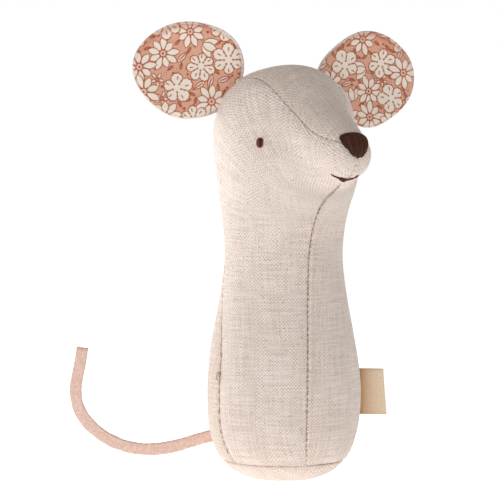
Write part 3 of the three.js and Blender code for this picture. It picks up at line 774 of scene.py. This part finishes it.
def make_base():
    """The foot: flat where it stands, rounded up to the seam."""
    sides = 260
    outline = spline(BODY_PROFILE, np.linspace(0, 3.2, 200))
    outline = outline[outline[:, 1] <= STATIONS[0, 1]]
    foot = np.linspace((0.2, 0), BODY_PROFILE[0], 12)[:-1]
    profile = smooth_line(np.vstack([foot, outline]), 70)
    turn = circle_angles(sides)
    ring = np.stack([np.sin(turn), -np.cos(turn)], axis=-1)
    rise = np.tile(profile[:, None, 1:], (1, sides, 1))
    points = np.concatenate([profile[:, None, :1] * ring, rise], axis=-1)
    from_seam = travelled_along(points[::-1], 0)[::-1]
    normals = skin_normals(points)
    inward = 0.55 * groove(from_seam)
    along = np.broadcast_to(turn * profile[-1, 0], from_seam.shape)
    inward += gathers(from_seam, along, 71, 0.2)
    inward *= np.clip(points[..., 2] / 1.5, 0, 1)
    points = points - normals * inward[..., None]
    # Painted shade in the base seam, with a wider faint strip just below it.
    shade = 0.8 * np.exp(-(from_seam / 0.4) ** 2) + 0.3 * np.exp(-(from_seam / 1.6) ** 2)
    faces = grid_faces(len(profile), sides, closed=True)
    base = make_mesh("foot_panel", points, faces, points[..., :2], {PAINTED_SHADE_ATTRIBUTE: shade})
    thicken(base, FOOT_THICKNESS)
    dress(base, LINEN, "torso", ["base_panel"])


def make_body():
    make_panel("right_side_linen", "right_side_panel", "right", "front", 96, LINEN, 11)
    make_panel("left_side_linen", "left_side_panel", "front", "left", 96, LINEN, 21, ridge=0.45)
    make_panel("crown_and_back_linen", "crown_and_back_panel", "left", "right_again", 120,
               SHADED_CROWN_LINEN, 31)
    make_base()


# ---------------------------------------------------------------- machine and hand stitches in the seams


SEAM_STITCHES = {  # seam, first and last position, pitch, length, thread radius, depth, seed
    "front_seam_stitches": ("front", 0.2, 12.6, 1.9, 1.15, 0.13, 0.42, 81),
    "right_crown_seam_stitches": ("right", 4.4, 14, 2.1, 1.1, 0.12, 0.47, 82),
    "left_side_seam_stitches": ("left", 0.2, 14, 2.1, 1.1, 0.12, 0.47, 83),
}
CLOSING_START, CLOSING_END = 10.0, 43  # heights on the right side seam
LOOP_HEIGHT = 34.6


def seam_dashes(name, seam, start, end, pitch, length, radius, depth, seed):
    """Short threads that lie in a seam, seen where the cloth pulls away from them."""
    random = np.random.default_rng(seed)
    bundle = Bundle()
    dense = np.linspace(start, end, 1500)
    line = seam_point(dense, seam)
    travelled = travelled_along(line)
    for i in range(int(travelled[-1] / pitch)):
        middle = (i + 0.5) * pitch + random.uniform(-0.2, 0.2)
        at = np.interp(middle + np.linspace(-0.5, 0.5, 5) * length, travelled, dense)
        sag = depth + 0.18 * np.linspace(-1, 1, 5) ** 2
        points = seam_point(at, seam, -sag, np.linspace(-0.12, 0.12, 5))
        bundle.rod(points, radius * random.uniform(0.8, 1.15), 6, random.uniform(0, 1))
    dress(bundle.build(name), SEAM_THREAD, "torso")


def closing_stitches():
    """The hand-sewn end of the right side seam: slanting stitches, and one loop that stands away."""
    random = np.random.default_rng(7)
    bundle = Bundle()
    height = CLOSING_START
    while height < CLOSING_END:
        reach = random.uniform(0.2, 0.7)
        rise = random.uniform(0.6, 1.1)
        share = np.linspace(-1, 1, 7)
        at = position_at_height(height + share * rise)
        lift = -0.1 - 0.5 * np.abs(share) ** 3
        points = seam_point(at, "right", lift, share * reach * random.choice([-1, 1, 1]))
        bundle.rod(points, 0.14, 6, random.uniform(0.1, 0.9))
        height += random.uniform(2.6, 3.8)
    turn = np.linspace(-0.6, 1.55 * math.pi, 24)
    at = position_at_height(LOOP_HEIGHT + 1.3 * np.sin(turn))
    points = seam_point(at, "right", 0.2 + 0.25 * np.sin(turn / 2), 0.6 * np.cos(turn))
    bundle.rod(points, 0.15, 6, 0.35)
    dress(bundle.build("closing_stitches"), SEAM_THREAD, "torso", ["closing_thread"])


# ---------------------------------------------------------------- ears

EAR_HALF_WIDTH = 18.2
EAR_HALF_HEIGHT = 15.8
EAR_CUP = 1.6
EAR_TUCK = 2.4  # how far the ear's cloth runs on inside the head's seam
EAR_CLOTH_THICKNESS = 0.32
EAR_STITCH_LINE = 0.955  # the share of the ear's reach at which its two cloths are sewn together
EARS = {  # centre, yaw in degrees, which way the head is, seed, how far the rim is from a true oval
    "right": ((-29.9, 9.6, 134.5), -22, 1, 100, 0.0),
    "left": ((34.4, 3.8, 132.7), -4, -1, 200, 0.035),
}


class EarShape:
    """One ear's plane, outline and cupped surface."""

    def __init__(self, side):
        centre, yaw, self.toward_head, self.seed, self.pull = EARS[side]
        yaw = math.radians(yaw)
        self.centre = np.array(centre)
        self.across = np.array([math.cos(yaw), math.sin(yaw), 0])
        self.face = np.array([math.sin(yaw), -math.cos(yaw), 0])

    def reach(self, turn):
        """How far the cloth runs from the ear's middle in each direction."""
        oval = 1 / np.hypot(np.cos(turn) / EAR_HALF_WIDTH, np.sin(turn) / EAR_HALF_HEIGHT)
        oval *= 1 + 0.018 * np.sin(3 * turn + self.seed) + 0.01 * np.sin(5 * turn + 2 * self.seed)
        oval *= 1 + self.pull * np.cos(4 * turn)
        travel = np.linspace(0, EAR_HALF_WIDTH, 160)
        direction = np.cos(turn)[:, None] * self.across + np.sin(turn)[:, None] * UP
        depth = skin_distance(self.centre + direction[:, None] * travel[None, :, None])
        in_head = depth < -EAR_TUCK
        first = np.where(in_head.any(1), travel[in_head.argmax(1)], 2 * EAR_HALF_WIDTH)
        return smooth_min(oval, first, 1.5)

    def plane(self, turn, fraction):
        """Flat coordinates of the grid of points at these turns and shares of the reach."""
        reach = self.reach(turn) * fraction
        return np.stack([reach * np.cos(turn), reach * np.sin(turn)], axis=-1)

    def surface(self, flat, fraction, offset):
        """Points in the mouse's frame, cupped forwards, that far in front of the ear's middle sheet."""
        x, z = flat[..., 0], flat[..., 1]
        cup = EAR_CUP * (fraction ** 2 - 1)
        roll = 1.5 * fraction ** 6 * np.clip(np.sin(np.arctan2(z, x * self.toward_head) - 0.2), 0, 1) ** 2
        ripple = 0.35 * fraction ** 2 * waves(flat, 15, self.seed + 3)
        pleats = 0.5 * self.near_head(flat) * np.sin(z * 1.15 + 0.6)
        depth = cup + roll + ripple + pleats + offset
        return self.on_plane(flat) + depth[..., None] * self.face

    def on_plane(self, flat):
        return self.centre + flat[..., :1] * self.across + flat[..., 1:] * UP

    def near_head(self, flat):
        """1 where the ear meets the head, falling to 0 within a few millimetres."""
        return np.exp(-np.maximum(skin_distance(self.on_plane(flat)), 0) / 3.2)


def ear_layer(shape, name, node, front):
    """One of the ear's two cloths. Towards the head the back one wraps round the rim as a pale edge."""
    spokes, rings = 400, 100
    turn = circle_angles(spokes)
    share = np.linspace(0.004, 1, rings) ** 0.85
    shown = np.clip(np.cos(turn) * shape.toward_head + 0.15, 0, 1)
    full = share[:, None] * (0.992 - 0.022 * shown if front else np.ones(spokes))
    flat = shape.plane(turn, full)
    puff = 0.3 + 0.45 * (1 - full ** 10)
    if front:
        offset = puff - 0.4 * full ** 30
    else:
        wrap = np.clip((full - EAR_STITCH_LINE) / 0.045, 0, 1)
        offset = -puff * (1 - wrap) + (1.2 * shown - 0.75) * wrap
    stitched = 0.28 * np.exp(-((full - EAR_STITCH_LINE) / 0.012) ** 2)
    offset = offset + (-stitched if front else stitched)
    points = shape.surface(flat, full, offset)
    faces = grid_faces(rings, spokes, closed=True)
    # Painted shade on the lining where the ear meets the head and along its rim.
    shade = np.clip(shape.near_head(flat) * 0.5 + 0.6 * np.exp(-((1 - full) / 0.02) ** 2), 0, 1)
    attributes = {PAINTED_SHADE_ATTRIBUTE: shade * 0.5 * (not front)}
    if front:
        faces = [face[::-1] for face in faces]
        # Painted shade: the print darkens towards rust along the upper rim, where the ear's edge rolls
        # forward.
        rolled_side_shade = np.clip(np.sin(np.arctan2(flat[..., 1], flat[..., 0] * shape.toward_head) - 0.25), 0, 1)
        fold = 0.5 * rolled_side_shade ** 2 * np.exp(-((0.93 - full) / 0.07) ** 2)
        painted = floral_print(flat, shape.seed)
        attributes["print"] = painted + (np.array(rgb(RUST_INK_AND_RIM_SHADE)[:3]) - painted) * fold[..., None]
    obj = make_mesh(name, points, faces, flat, attributes)
    thicken(obj, EAR_CLOTH_THICKNESS)
    if front:
        dress(obj, print_material(), None, [node])
    else:
        dress(obj, LINEN, None, [node])
    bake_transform(obj)


def make_ears():
    for side in EARS:
        shape = EarShape(side)
        ear_layer(shape, f"{side}_ear_print", f"{side}_ear_front", True)
        ear_layer(shape, f"{side}_ear_lining", f"{side}_ear_back", False)


# ---------------------------------------------------------------- the ears' floral print

GROUND, CREAM, RUST_INK_AND_RIM_SHADE, BLUSH = "#DDA991", "#F1E5D6", "#A8512F", "#E9C6B4"


class Painter:
    """Paints flat motifs, each with a darker outline, on a field of points in millimetres."""

    def __init__(self, flat, ground):
        self.flat = flat
        self.color = np.tile(np.array(rgb(ground)[:3]), flat.shape[:-1] + (1,))

    def lay(self, distance, fill, outline=0.34):
        """Fills where distance is below 0 and draws the line around it."""
        edge = 0.16
        inside = np.clip(-distance / edge + 0.5, 0, 1)[..., None]
        self.color = self.color * (1 - inside) + np.array(rgb(fill)[:3]) * inside
        if outline:
            line = np.clip((outline / 2 - np.abs(distance)) / edge + 0.5, 0, 1)[..., None]
            self.color = self.color * (1 - line) + np.array(rgb(RUST_INK_AND_RIM_SHADE)[:3]) * line

    def about(self, centre, turn):
        """Coordinates turned and centred on a motif."""
        p = self.flat - np.array(centre)
        c, s = math.cos(turn), math.sin(turn)
        return p[..., 0] * c + p[..., 1] * s, p[..., 1] * c - p[..., 0] * s

    def petal(self, centre, turn, start, end, width, fill=CREAM, blunt=0.0):
        """A long oval petal that points along turn, from start to end off the centre."""
        x, y = self.about(centre, turn)
        t = np.clip((x - start) / (end - start), 0, 1)
        half = width / 2 * np.sin(math.pi * t ** (1.25 - blunt)) ** 0.75 + 1e-3
        gap = np.where((x < start) | (x > end), np.hypot(x - np.clip(x, start, end), y), np.abs(y) - half)
        self.lay(gap, fill)

    def disc(self, centre, radius, fill, outline=0.2):
        x, y = self.about(centre, 0)
        self.lay(np.hypot(x, y) - radius, fill, outline)

    def daisy(self, centre, radius, petals, turn):
        for k in range(petals):
            reach = radius * (1 + 0.12 * math.sin(2.4 * k + 5 * turn))
            self.petal(centre, turn + 2 * math.pi * k / petals, 0.16 * radius, reach, 0.44 * radius)
        self.disc(centre, 0.22 * radius, BLUSH, 0.4)
        self.disc(centre, 0.08 * radius, RUST_INK_AND_RIM_SHADE, 0)

    def blossom(self, centre, radius, lobes, turn):
        """A round, lobed bloom with a dotted heart."""
        x, y = self.about(centre, turn)
        around = np.arctan2(y, x)
        edge = radius * (0.66 + 0.34 * np.abs(np.cos(lobes * around / 2)) ** 0.7)
        edge *= 1 + 0.1 * np.sin(around + 2 * turn) + 0.05 * np.abs(np.sin(2.5 * lobes * around))
        self.lay(np.hypot(x, y) - edge, CREAM, 0.42)
        for k in range(lobes):
            angle = turn + 2 * math.pi * (k + 0.5) / lobes
            heart = np.array(centre) + 0.3 * radius * np.array([math.cos(angle), math.sin(angle)])
            self.disc(heart, 0.07 * radius, RUST_INK_AND_RIM_SHADE, 0)
            self.petal(centre, angle, 0.42 * radius, 0.7 * radius, 0.03 * radius, RUST_INK_AND_RIM_SHADE)
            self.petal(centre, angle + 0.5, 0.6 * radius, 0.8 * radius, 0.01 * radius, RUST_INK_AND_RIM_SHADE)

    def tulip(self, centre, size, turn):
        """Three overlapping pointed petals on a short cup."""
        for lean in (-0.62, 0.62, 0):
            self.petal(centre, turn + lean, 0, size, 0.52 * size, blunt=0.35)

    def stem(self, line, width=0.5):
        points = smooth_line(np.array(line, float), 40)
        gap = np.full(self.flat.shape[:-1], np.inf)
        for point in points:
            gap = np.minimum(gap, np.hypot(self.flat[..., 0] - point[0], self.flat[..., 1] - point[1]))
        self.lay(gap - width / 2, CREAM, 0.3)

    def leaf(self, centre, size, turn):
        self.petal(centre, turn, 0, size, 0.34 * size)
        self.petal(centre, turn, 0.15 * size, 0.8 * size, 0.02 * size, RUST_INK_AND_RIM_SHADE)


PRINT_ROOMS = (9.4, 6.4, 4.2, 2.4, 1.6)  # the motifs' sizes, from the largest flowers to the dots


def floral_print(flat, seed):
    """A scattered print of daisies, blossoms, tulips, leaves and dots."""
    random = np.random.default_rng(seed)
    painter = Painter(flat, GROUND)
    x_reach, z_reach = EAR_HALF_WIDTH + 1, EAR_HALF_HEIGHT + 1
    places = []
    for room in PRINT_ROOMS:
        for _ in range(700):
            place = np.array([random.uniform(-x_reach, x_reach), random.uniform(-z_reach, z_reach)])
            if all(np.hypot(*(place - other)) > 0.43 * (room + taken) for other, taken in places):
                places.append((place, room))
    for place, room in sorted(places, key=lambda item: item[1]):
        turn = random.uniform(0, 2 * math.pi)
        heading = np.array([math.cos(turn), math.sin(turn)])
        if room < 2:
            painter.disc(place, random.uniform(0.25, 0.4), random.choice([CREAM, RUST_INK_AND_RIM_SHADE]), 0.2)
        elif room < 3:
            painter.leaf(place - heading * 1.1, 2.4, turn)
        elif room < 5:
            if random.random() < 0.4:
                painter.daisy(place, random.uniform(2.0, 2.4), 5, turn)
            else:
                painter.leaf(place - heading * 2.3, 4.8, turn)
        elif room < 7:
            bend = np.array([-heading[1], heading[0]]) * random.uniform(1.2, 2.4)
            painter.stem([place - heading * 6.4, place - heading * 3.2 + bend, place])
            painter.leaf(place - heading * 3.2 + bend * 0.8, 3.4, turn + 1.9)
            painter.tulip(place - heading * 1.2, random.uniform(4.6, 5.2), turn)
        elif random.random() < 0.55:
            painter.daisy(place, random.uniform(4.8, 5.5), random.integers(8, 10), turn)
        else:
            painter.blossom(place, random.uniform(4.6, 5.2), random.choice([5, 6, 7]), turn)
    return painter.color


# ---------------------------------------------------------------- embroidery

NOSE_SIDEWAYS = np.array([-45, -36, -18, 0, 18, 36, 45])  # degrees round the muzzle's tip
NOSE_TOP = np.array([37, 45, 50, 51, 50, 45, 38])  # degrees up, at each of those
NOSE_FOOT_SIDEWAYS = np.array([-45, -38, -24, -12, 0, 12, 24, 38, 45])
NOSE_FOOT = np.array([37, 29, 13, -2, -8, -5, 8, 25, 38])
STITCH_CLEARANCE = 0.1
EYE_TURN = 46.5  # degrees round from the front
EYE_HEIGHT = 110.3
EYE_HALF_WIDTH = 1.05
EYE_HALF_HEIGHT = 1.48


def muzzle_points(sideways, up, lift):
    """Points above the skin in these directions from the muzzle's tip, and the directions."""
    a, b = np.radians(sideways), np.radians(up)
    direction = np.stack([np.cos(b) * np.sin(a), -np.cos(b) * np.cos(a), np.sin(b)], axis=-1)
    points = cast_to_skin(MUZZLE_TIP, direction)
    return points + skin_normals(points) * np.asarray(lift)[..., None], direction


def nose():
    """Satin stitch that fans out from the bottom of the nose, over a little padding."""
    random = np.random.default_rng(3)
    bundle = Bundle()
    threads, steps = 44, 16
    t = np.linspace(0, 1, steps)
    for layer, count in ((0, threads // 2), (1, threads)):
        for i in range(count):
            share = 2 * (i + 0.5) / count - 1
            top_side = 44 * share
            foot_side = 27 * share * (0.55 + 0.45 * abs(share))
            top = np.interp(top_side, NOSE_SIDEWAYS, NOSE_TOP) + random.uniform(-2.2, 1.2)
            foot = np.interp(foot_side, NOSE_FOOT_SIDEWAYS, NOSE_FOOT) + random.uniform(-2.5, 2)
            sideways = top_side + (foot_side - top_side) * t
            up = top + (foot - top) * t
            pad = (0.55 + 0.3 * layer) * np.sin(math.pi * t) ** 0.4 * (1 - 0.45 * share ** 4)
            points, normals = muzzle_points(sideways, up, STITCH_CLEARANCE + pad - 0.15)
            radius = random.uniform(0.2, 0.27) if layer else 0.5
            bundle.rod(points, radius * (0.55 + 0.45 * np.sin(math.pi * t) ** 0.5), 7,
                       random.uniform(0.0, 0.55) if layer else 0.0, 0.8, normals)
    dress(bundle.build("nose_satin"), NOSE_THREAD, "torso", ["nose_stitches"])


def eye(name, side, node):
    """A little oval of upright satin stitches."""
    random = np.random.default_rng(5 + side)
    turn = math.radians(EYE_TURN)
    outward = np.array([side * math.sin(turn), -math.cos(turn), 0])
    sideways = np.array([math.cos(turn), side * math.sin(turn), 0]) * side
    centre = cast_to_skin(UP * EYE_HEIGHT, outward)
    bundle = Bundle()
    for layer, count in ((0, 5), (1, 9)):
        for i in range(count):
            share = 2 * (i + 0.5) / count - 1
            half = EYE_HALF_HEIGHT * math.sqrt(1 - 0.93 * share * share) * random.uniform(0.92, 1.05)
            t = np.linspace(-1, 1, 11)
            place = centre - outward * 6 + sideways * EYE_HALF_WIDTH * share
            place = place + t[:, None] * half * UP + random.uniform(-0.05, 0.05) * sideways
            points = cast_to_skin(place, outward)
            lift = (0.3 + 0.22 * layer) * (1 - t ** 4) * (1 - 0.4 * share ** 2) - 0.08
            points = points + outward * lift[:, None]
            shade = random.choice([0.0, 0.1, 0.2, 0.75], p=[0.4, 0.25, 0.2, 0.15])
            bundle.rod(points, 0.22 if layer else 0.34, 7, shade, 0.85, np.tile(outward, (11, 1)))
    dress(bundle.build(name), EYE_THREAD, "torso", [node])


MOUTH_POINTS = [  # sideways, height
    (-5.7, 100.4), (-4.6, 99.7), (-3.1, 99.1), (-1.3, 98.6), (0.3, 98.8), (1.4, 99.2), (2.7, 99.9),
]
MOUTH_STEPS = 60
MOUTH_MIDDLE_STEP = 27
MOUTH_STRANDS = (  # first and last step, how far up the strand is moved, shade
    (0, 30, -0.12, 0.5), (0, 27, 0.15, 0.3), (24, 60, -0.1, 0.7), (27, 57, 0.12, 0.2), (17, 33, -0.42, 0.4),
)


def mouth():
    """A smile of five overlapping strands, thickest where they meet."""
    bundle = Bundle()
    line = smooth_line(MOUTH_POINTS, MOUTH_STEPS)
    origin = np.stack([line[:, 0], np.full(MOUTH_STEPS, -30.0), line[:, 1]], axis=-1)
    points = cast_to_skin(origin, [0, -1, 0])
    normals = skin_normals(points)
    for start, end, lift, shade in MOUTH_STRANDS:
        t = np.linspace(-1, 1, end - start)
        strand = points[start:end] + normals[start:end] * (0.16 - 0.3 * t[:, None] ** 6)
        strand[:, 2] += lift
        near_middle = np.exp(-((np.arange(start, end) - MOUTH_MIDDLE_STEP) / 9) ** 2)
        bundle.rod(strand, 0.2 + 0.26 * near_middle, 7, shade, 0.8, normals[start:end])
    dress(bundle.build("mouth_embroidery"), MOUTH_THREAD, "torso", ["mouth_stitches"])


# ---------------------------------------------------------------- the ribbon label

LABEL_REACH = 8.2
LABEL_HEIGHT = 15.2
LABEL_MIDDLE = 28
LABEL_TURN = math.radians(70 - 90)
LABEL_SKIN_GAP = 0.5
LABEL_ROOT_TUCK = 0.9
LABEL_HALF_FOLD = 0.42  # half the gap between the two layers of ribbon
RIBBON_THICKNESS = 0.3


def label():
    """A ribbon folded double and sewn into the left side seam. It carries no mark."""
    outward = np.array([math.cos(LABEL_TURN), math.sin(LABEL_TURN), 0])
    aside = np.array([-math.sin(LABEL_TURN), math.cos(LABEL_TURN), 0])
    start = cast_to_skin(UP * LABEL_MIDDLE, outward, LABEL_SKIN_GAP)
    fold = LABEL_HALF_FOLD
    straight = np.linspace(-LABEL_ROOT_TUCK, LABEL_REACH - fold, 30)
    bulge = 0.2 * np.sin(math.pi * (straight + LABEL_ROOT_TUCK) / (LABEL_REACH + LABEL_ROOT_TUCK))
    bend = np.linspace(-math.pi / 2, math.pi / 2, 15)[1:-1]
    near = np.stack([straight, -fold - bulge], axis=-1)
    turn = np.stack([LABEL_REACH - fold + fold * np.cos(bend), fold * np.sin(bend)], axis=-1)
    far = np.stack([straight[::-1], fold + bulge[::-1]], axis=-1)
    section = np.vstack([near, turn, far])
    rows = 50
    rise = np.linspace(-0.5, 0.5, rows)
    reach = section[:, 0] * (1 - 0.13 * rise[:, None])
    lean = 0.12 * np.sin(2.6 * rise[:, None] + 0.4) * section[:, 0]
    side = section[:, 1] + lean * 0.3
    height = LABEL_MIDDLE - start[2] + rise[:, None] * LABEL_HEIGHT - 0.03 * section[:, 0]
    points = start + reach[..., None] * outward + side[..., None] * aside + height[..., None] * UP
    travelled = travelled_along(section)
    uv = np.stack(np.broadcast_arrays(travelled, rise[:, None] * LABEL_HEIGHT), axis=-1)
    selvedge = np.broadcast_to(0.5 * np.clip((np.abs(rise[:, None]) - 0.455) / 0.02, 0, 1), reach.shape)
    root_shade = np.broadcast_to(0.9 * np.exp(-np.maximum(section[:, 0], 0) / 3.4), reach.shape)
    obj = make_mesh("ribbon_label", points, grid_faces(rows, len(section)), uv,
                    {"selvedge": selvedge, "root_shade": root_shade})
    thicken(obj, RIBBON_THICKNESS, 0)
    dress(obj, ribbon_material(), None, ["label"])
    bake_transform(obj)


# ---------------------------------------------------------------- inside: stuffing, capsule and beads


FIBRE_VOXEL = 1.1
CAPSULE_HEIGHT = 44
CAPSULE_RADIUS = 14
CAPSULE_WALL = 1.2
CAPSULE_HALF_GAP = 0.16
BEAD_RADIUS = 2.2
BEADS = 5


def stuffing(node, seed):
    """Fluffy fibre in place of the plain solid, kept inside its shape."""
    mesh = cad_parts[node].data.copy()
    obj = bpy.data.objects.new(node.replace("stuffing", "fibre_fill"), mesh)
    bpy.context.scene.collection.objects.link(obj)
    remesh = obj.modifiers.new("remesh", "REMESH")
    remesh.mode = "VOXEL"
    remesh.voxel_size = FIBRE_VOXEL * MM
    evaluated = obj.evaluated_get(bpy.context.evaluated_depsgraph_get())
    obj.data = bpy.data.meshes.new_from_object(evaluated)
    obj.modifiers.clear()
    points = np.array([v.co for v in obj.data.vertices]) / MM
    normals = np.array([v.normal for v in obj.data.vertices])
    fluff = 0.45 * waves(points, 5, seed) + 0.25 * waves(points, 2.4, seed + 1) - 0.6
    moved = (points + normals * np.clip(fluff, -1.6, 0)[:, None]) * MM
    obj.data.vertices.foreach_set("co", moved.ravel())
    obj.data.polygons.foreach_set("use_smooth", np.ones(len(obj.data.polygons), bool))
    return obj


def turned(name, profile, sides, height, closed):
    """A mesh turned about the upright axis from radius and height pairs, raised by height."""
    turn = circle_angles(sides)
    ring = np.stack([np.cos(turn), np.sin(turn)], axis=-1)
    profile = np.asarray(profile, float)
    rows = np.vstack([profile, profile[:1]]) if closed else profile
    rise = np.tile(rows[:, None, 1:] + height, (1, sides, 1))
    points = np.concatenate([rows[:, None, :1] * ring, rise], axis=-1)
    return make_mesh(name, points, grid_faces(len(rows), sides, closed=True))


def capsule_half(name, node, side, material):
    """Half of the rattle's ball: a thin shell with moulding rings and a small rim where it snaps shut."""
    polar = np.radians(np.linspace(90, 0.6, 40))
    outer = CAPSULE_RADIUS + 0.12 * np.cos(10 * polar) * np.sin(polar) - 0.12
    inner = np.full(len(polar), CAPSULE_RADIUS - CAPSULE_WALL)
    radius, polar = np.concatenate([outer, inner]), np.concatenate([polar, polar[::-1]])
    rise = np.maximum(radius * np.cos(polar), CAPSULE_HALF_GAP)
    profile = np.stack([radius * np.sin(polar), rise * side], axis=-1)
    obj = turned(name, profile if side > 0 else profile[::-1], 96, CAPSULE_HEIGHT, True)
    dress(obj, material, "torso", [node])


def bead(index, material):
    """A drop-moulded bead, very slightly flattened, with its parting line."""
    low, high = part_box(f"rattle_bead_{index}")
    centre = np.array(low + high) / 2 / MM
    polar = np.radians(np.linspace(179.4, 0.6, 41))
    radius = BEAD_RADIUS * (0.985 + 0.015 * np.exp(-((polar - math.pi / 2) / 0.05) ** 2))
    profile = np.stack([radius * np.sin(polar), 0.98 * radius * np.cos(polar)], axis=-1)
    obj = turned(f"bead_{index}_ball", profile, 48, centre[2], False)
    obj.data.transform(Matrix.Translation((centre[0] * MM, centre[1] * MM, 0)))
    dress(obj, material, f"bead_{index}", [f"rattle_bead_{index}"])


def make_inside():
    fibre = fibre_material()
    for node, seed in (("lower_stuffing", 61), ("upper_stuffing", 66)):
        obj = dress(stuffing(node, seed), fibre, "torso", [node])
    shell = plastic_material("shell_plastic", rgb("#EDF0F0"), rgb("#DDE2E3"), 0.28)
    capsule_half("capsule_bottom", "rattle_shell_lower", -1, shell)
    capsule_half("capsule_top", "rattle_shell_upper", 1, shell)
    amber = plastic_material("bead_plastic", rgb("#E0A83F"), rgb("#CE9330"), 0.3)
    for index in range(1, BEADS + 1):
        bead(index, amber)


# ---------------------------------------------------------------- the floor


FLOOR_RADII = (1, 120, 700, 4000)
FLOOR_DROP = 0.05  # of its surface below the foot


def make_floor():
    floor = turned("floor", [(radius, 0) for radius in FLOOR_RADII], 96, -FLOOR_DROP, False)
    floor.data.materials.append(floor_material())


make_camera()
make_studio()
make_floor()
make_tail()
make_body()
make_ears()
nose()
eye("right_eye_satin", -1, "right_eye")
eye("left_eye_satin", 1, "left_eye")
mouth()
closing_stitches()
for stitches, settings in SEAM_STITCHES.items():
    seam_dashes(stitches, *settings)
label()
make_inside()
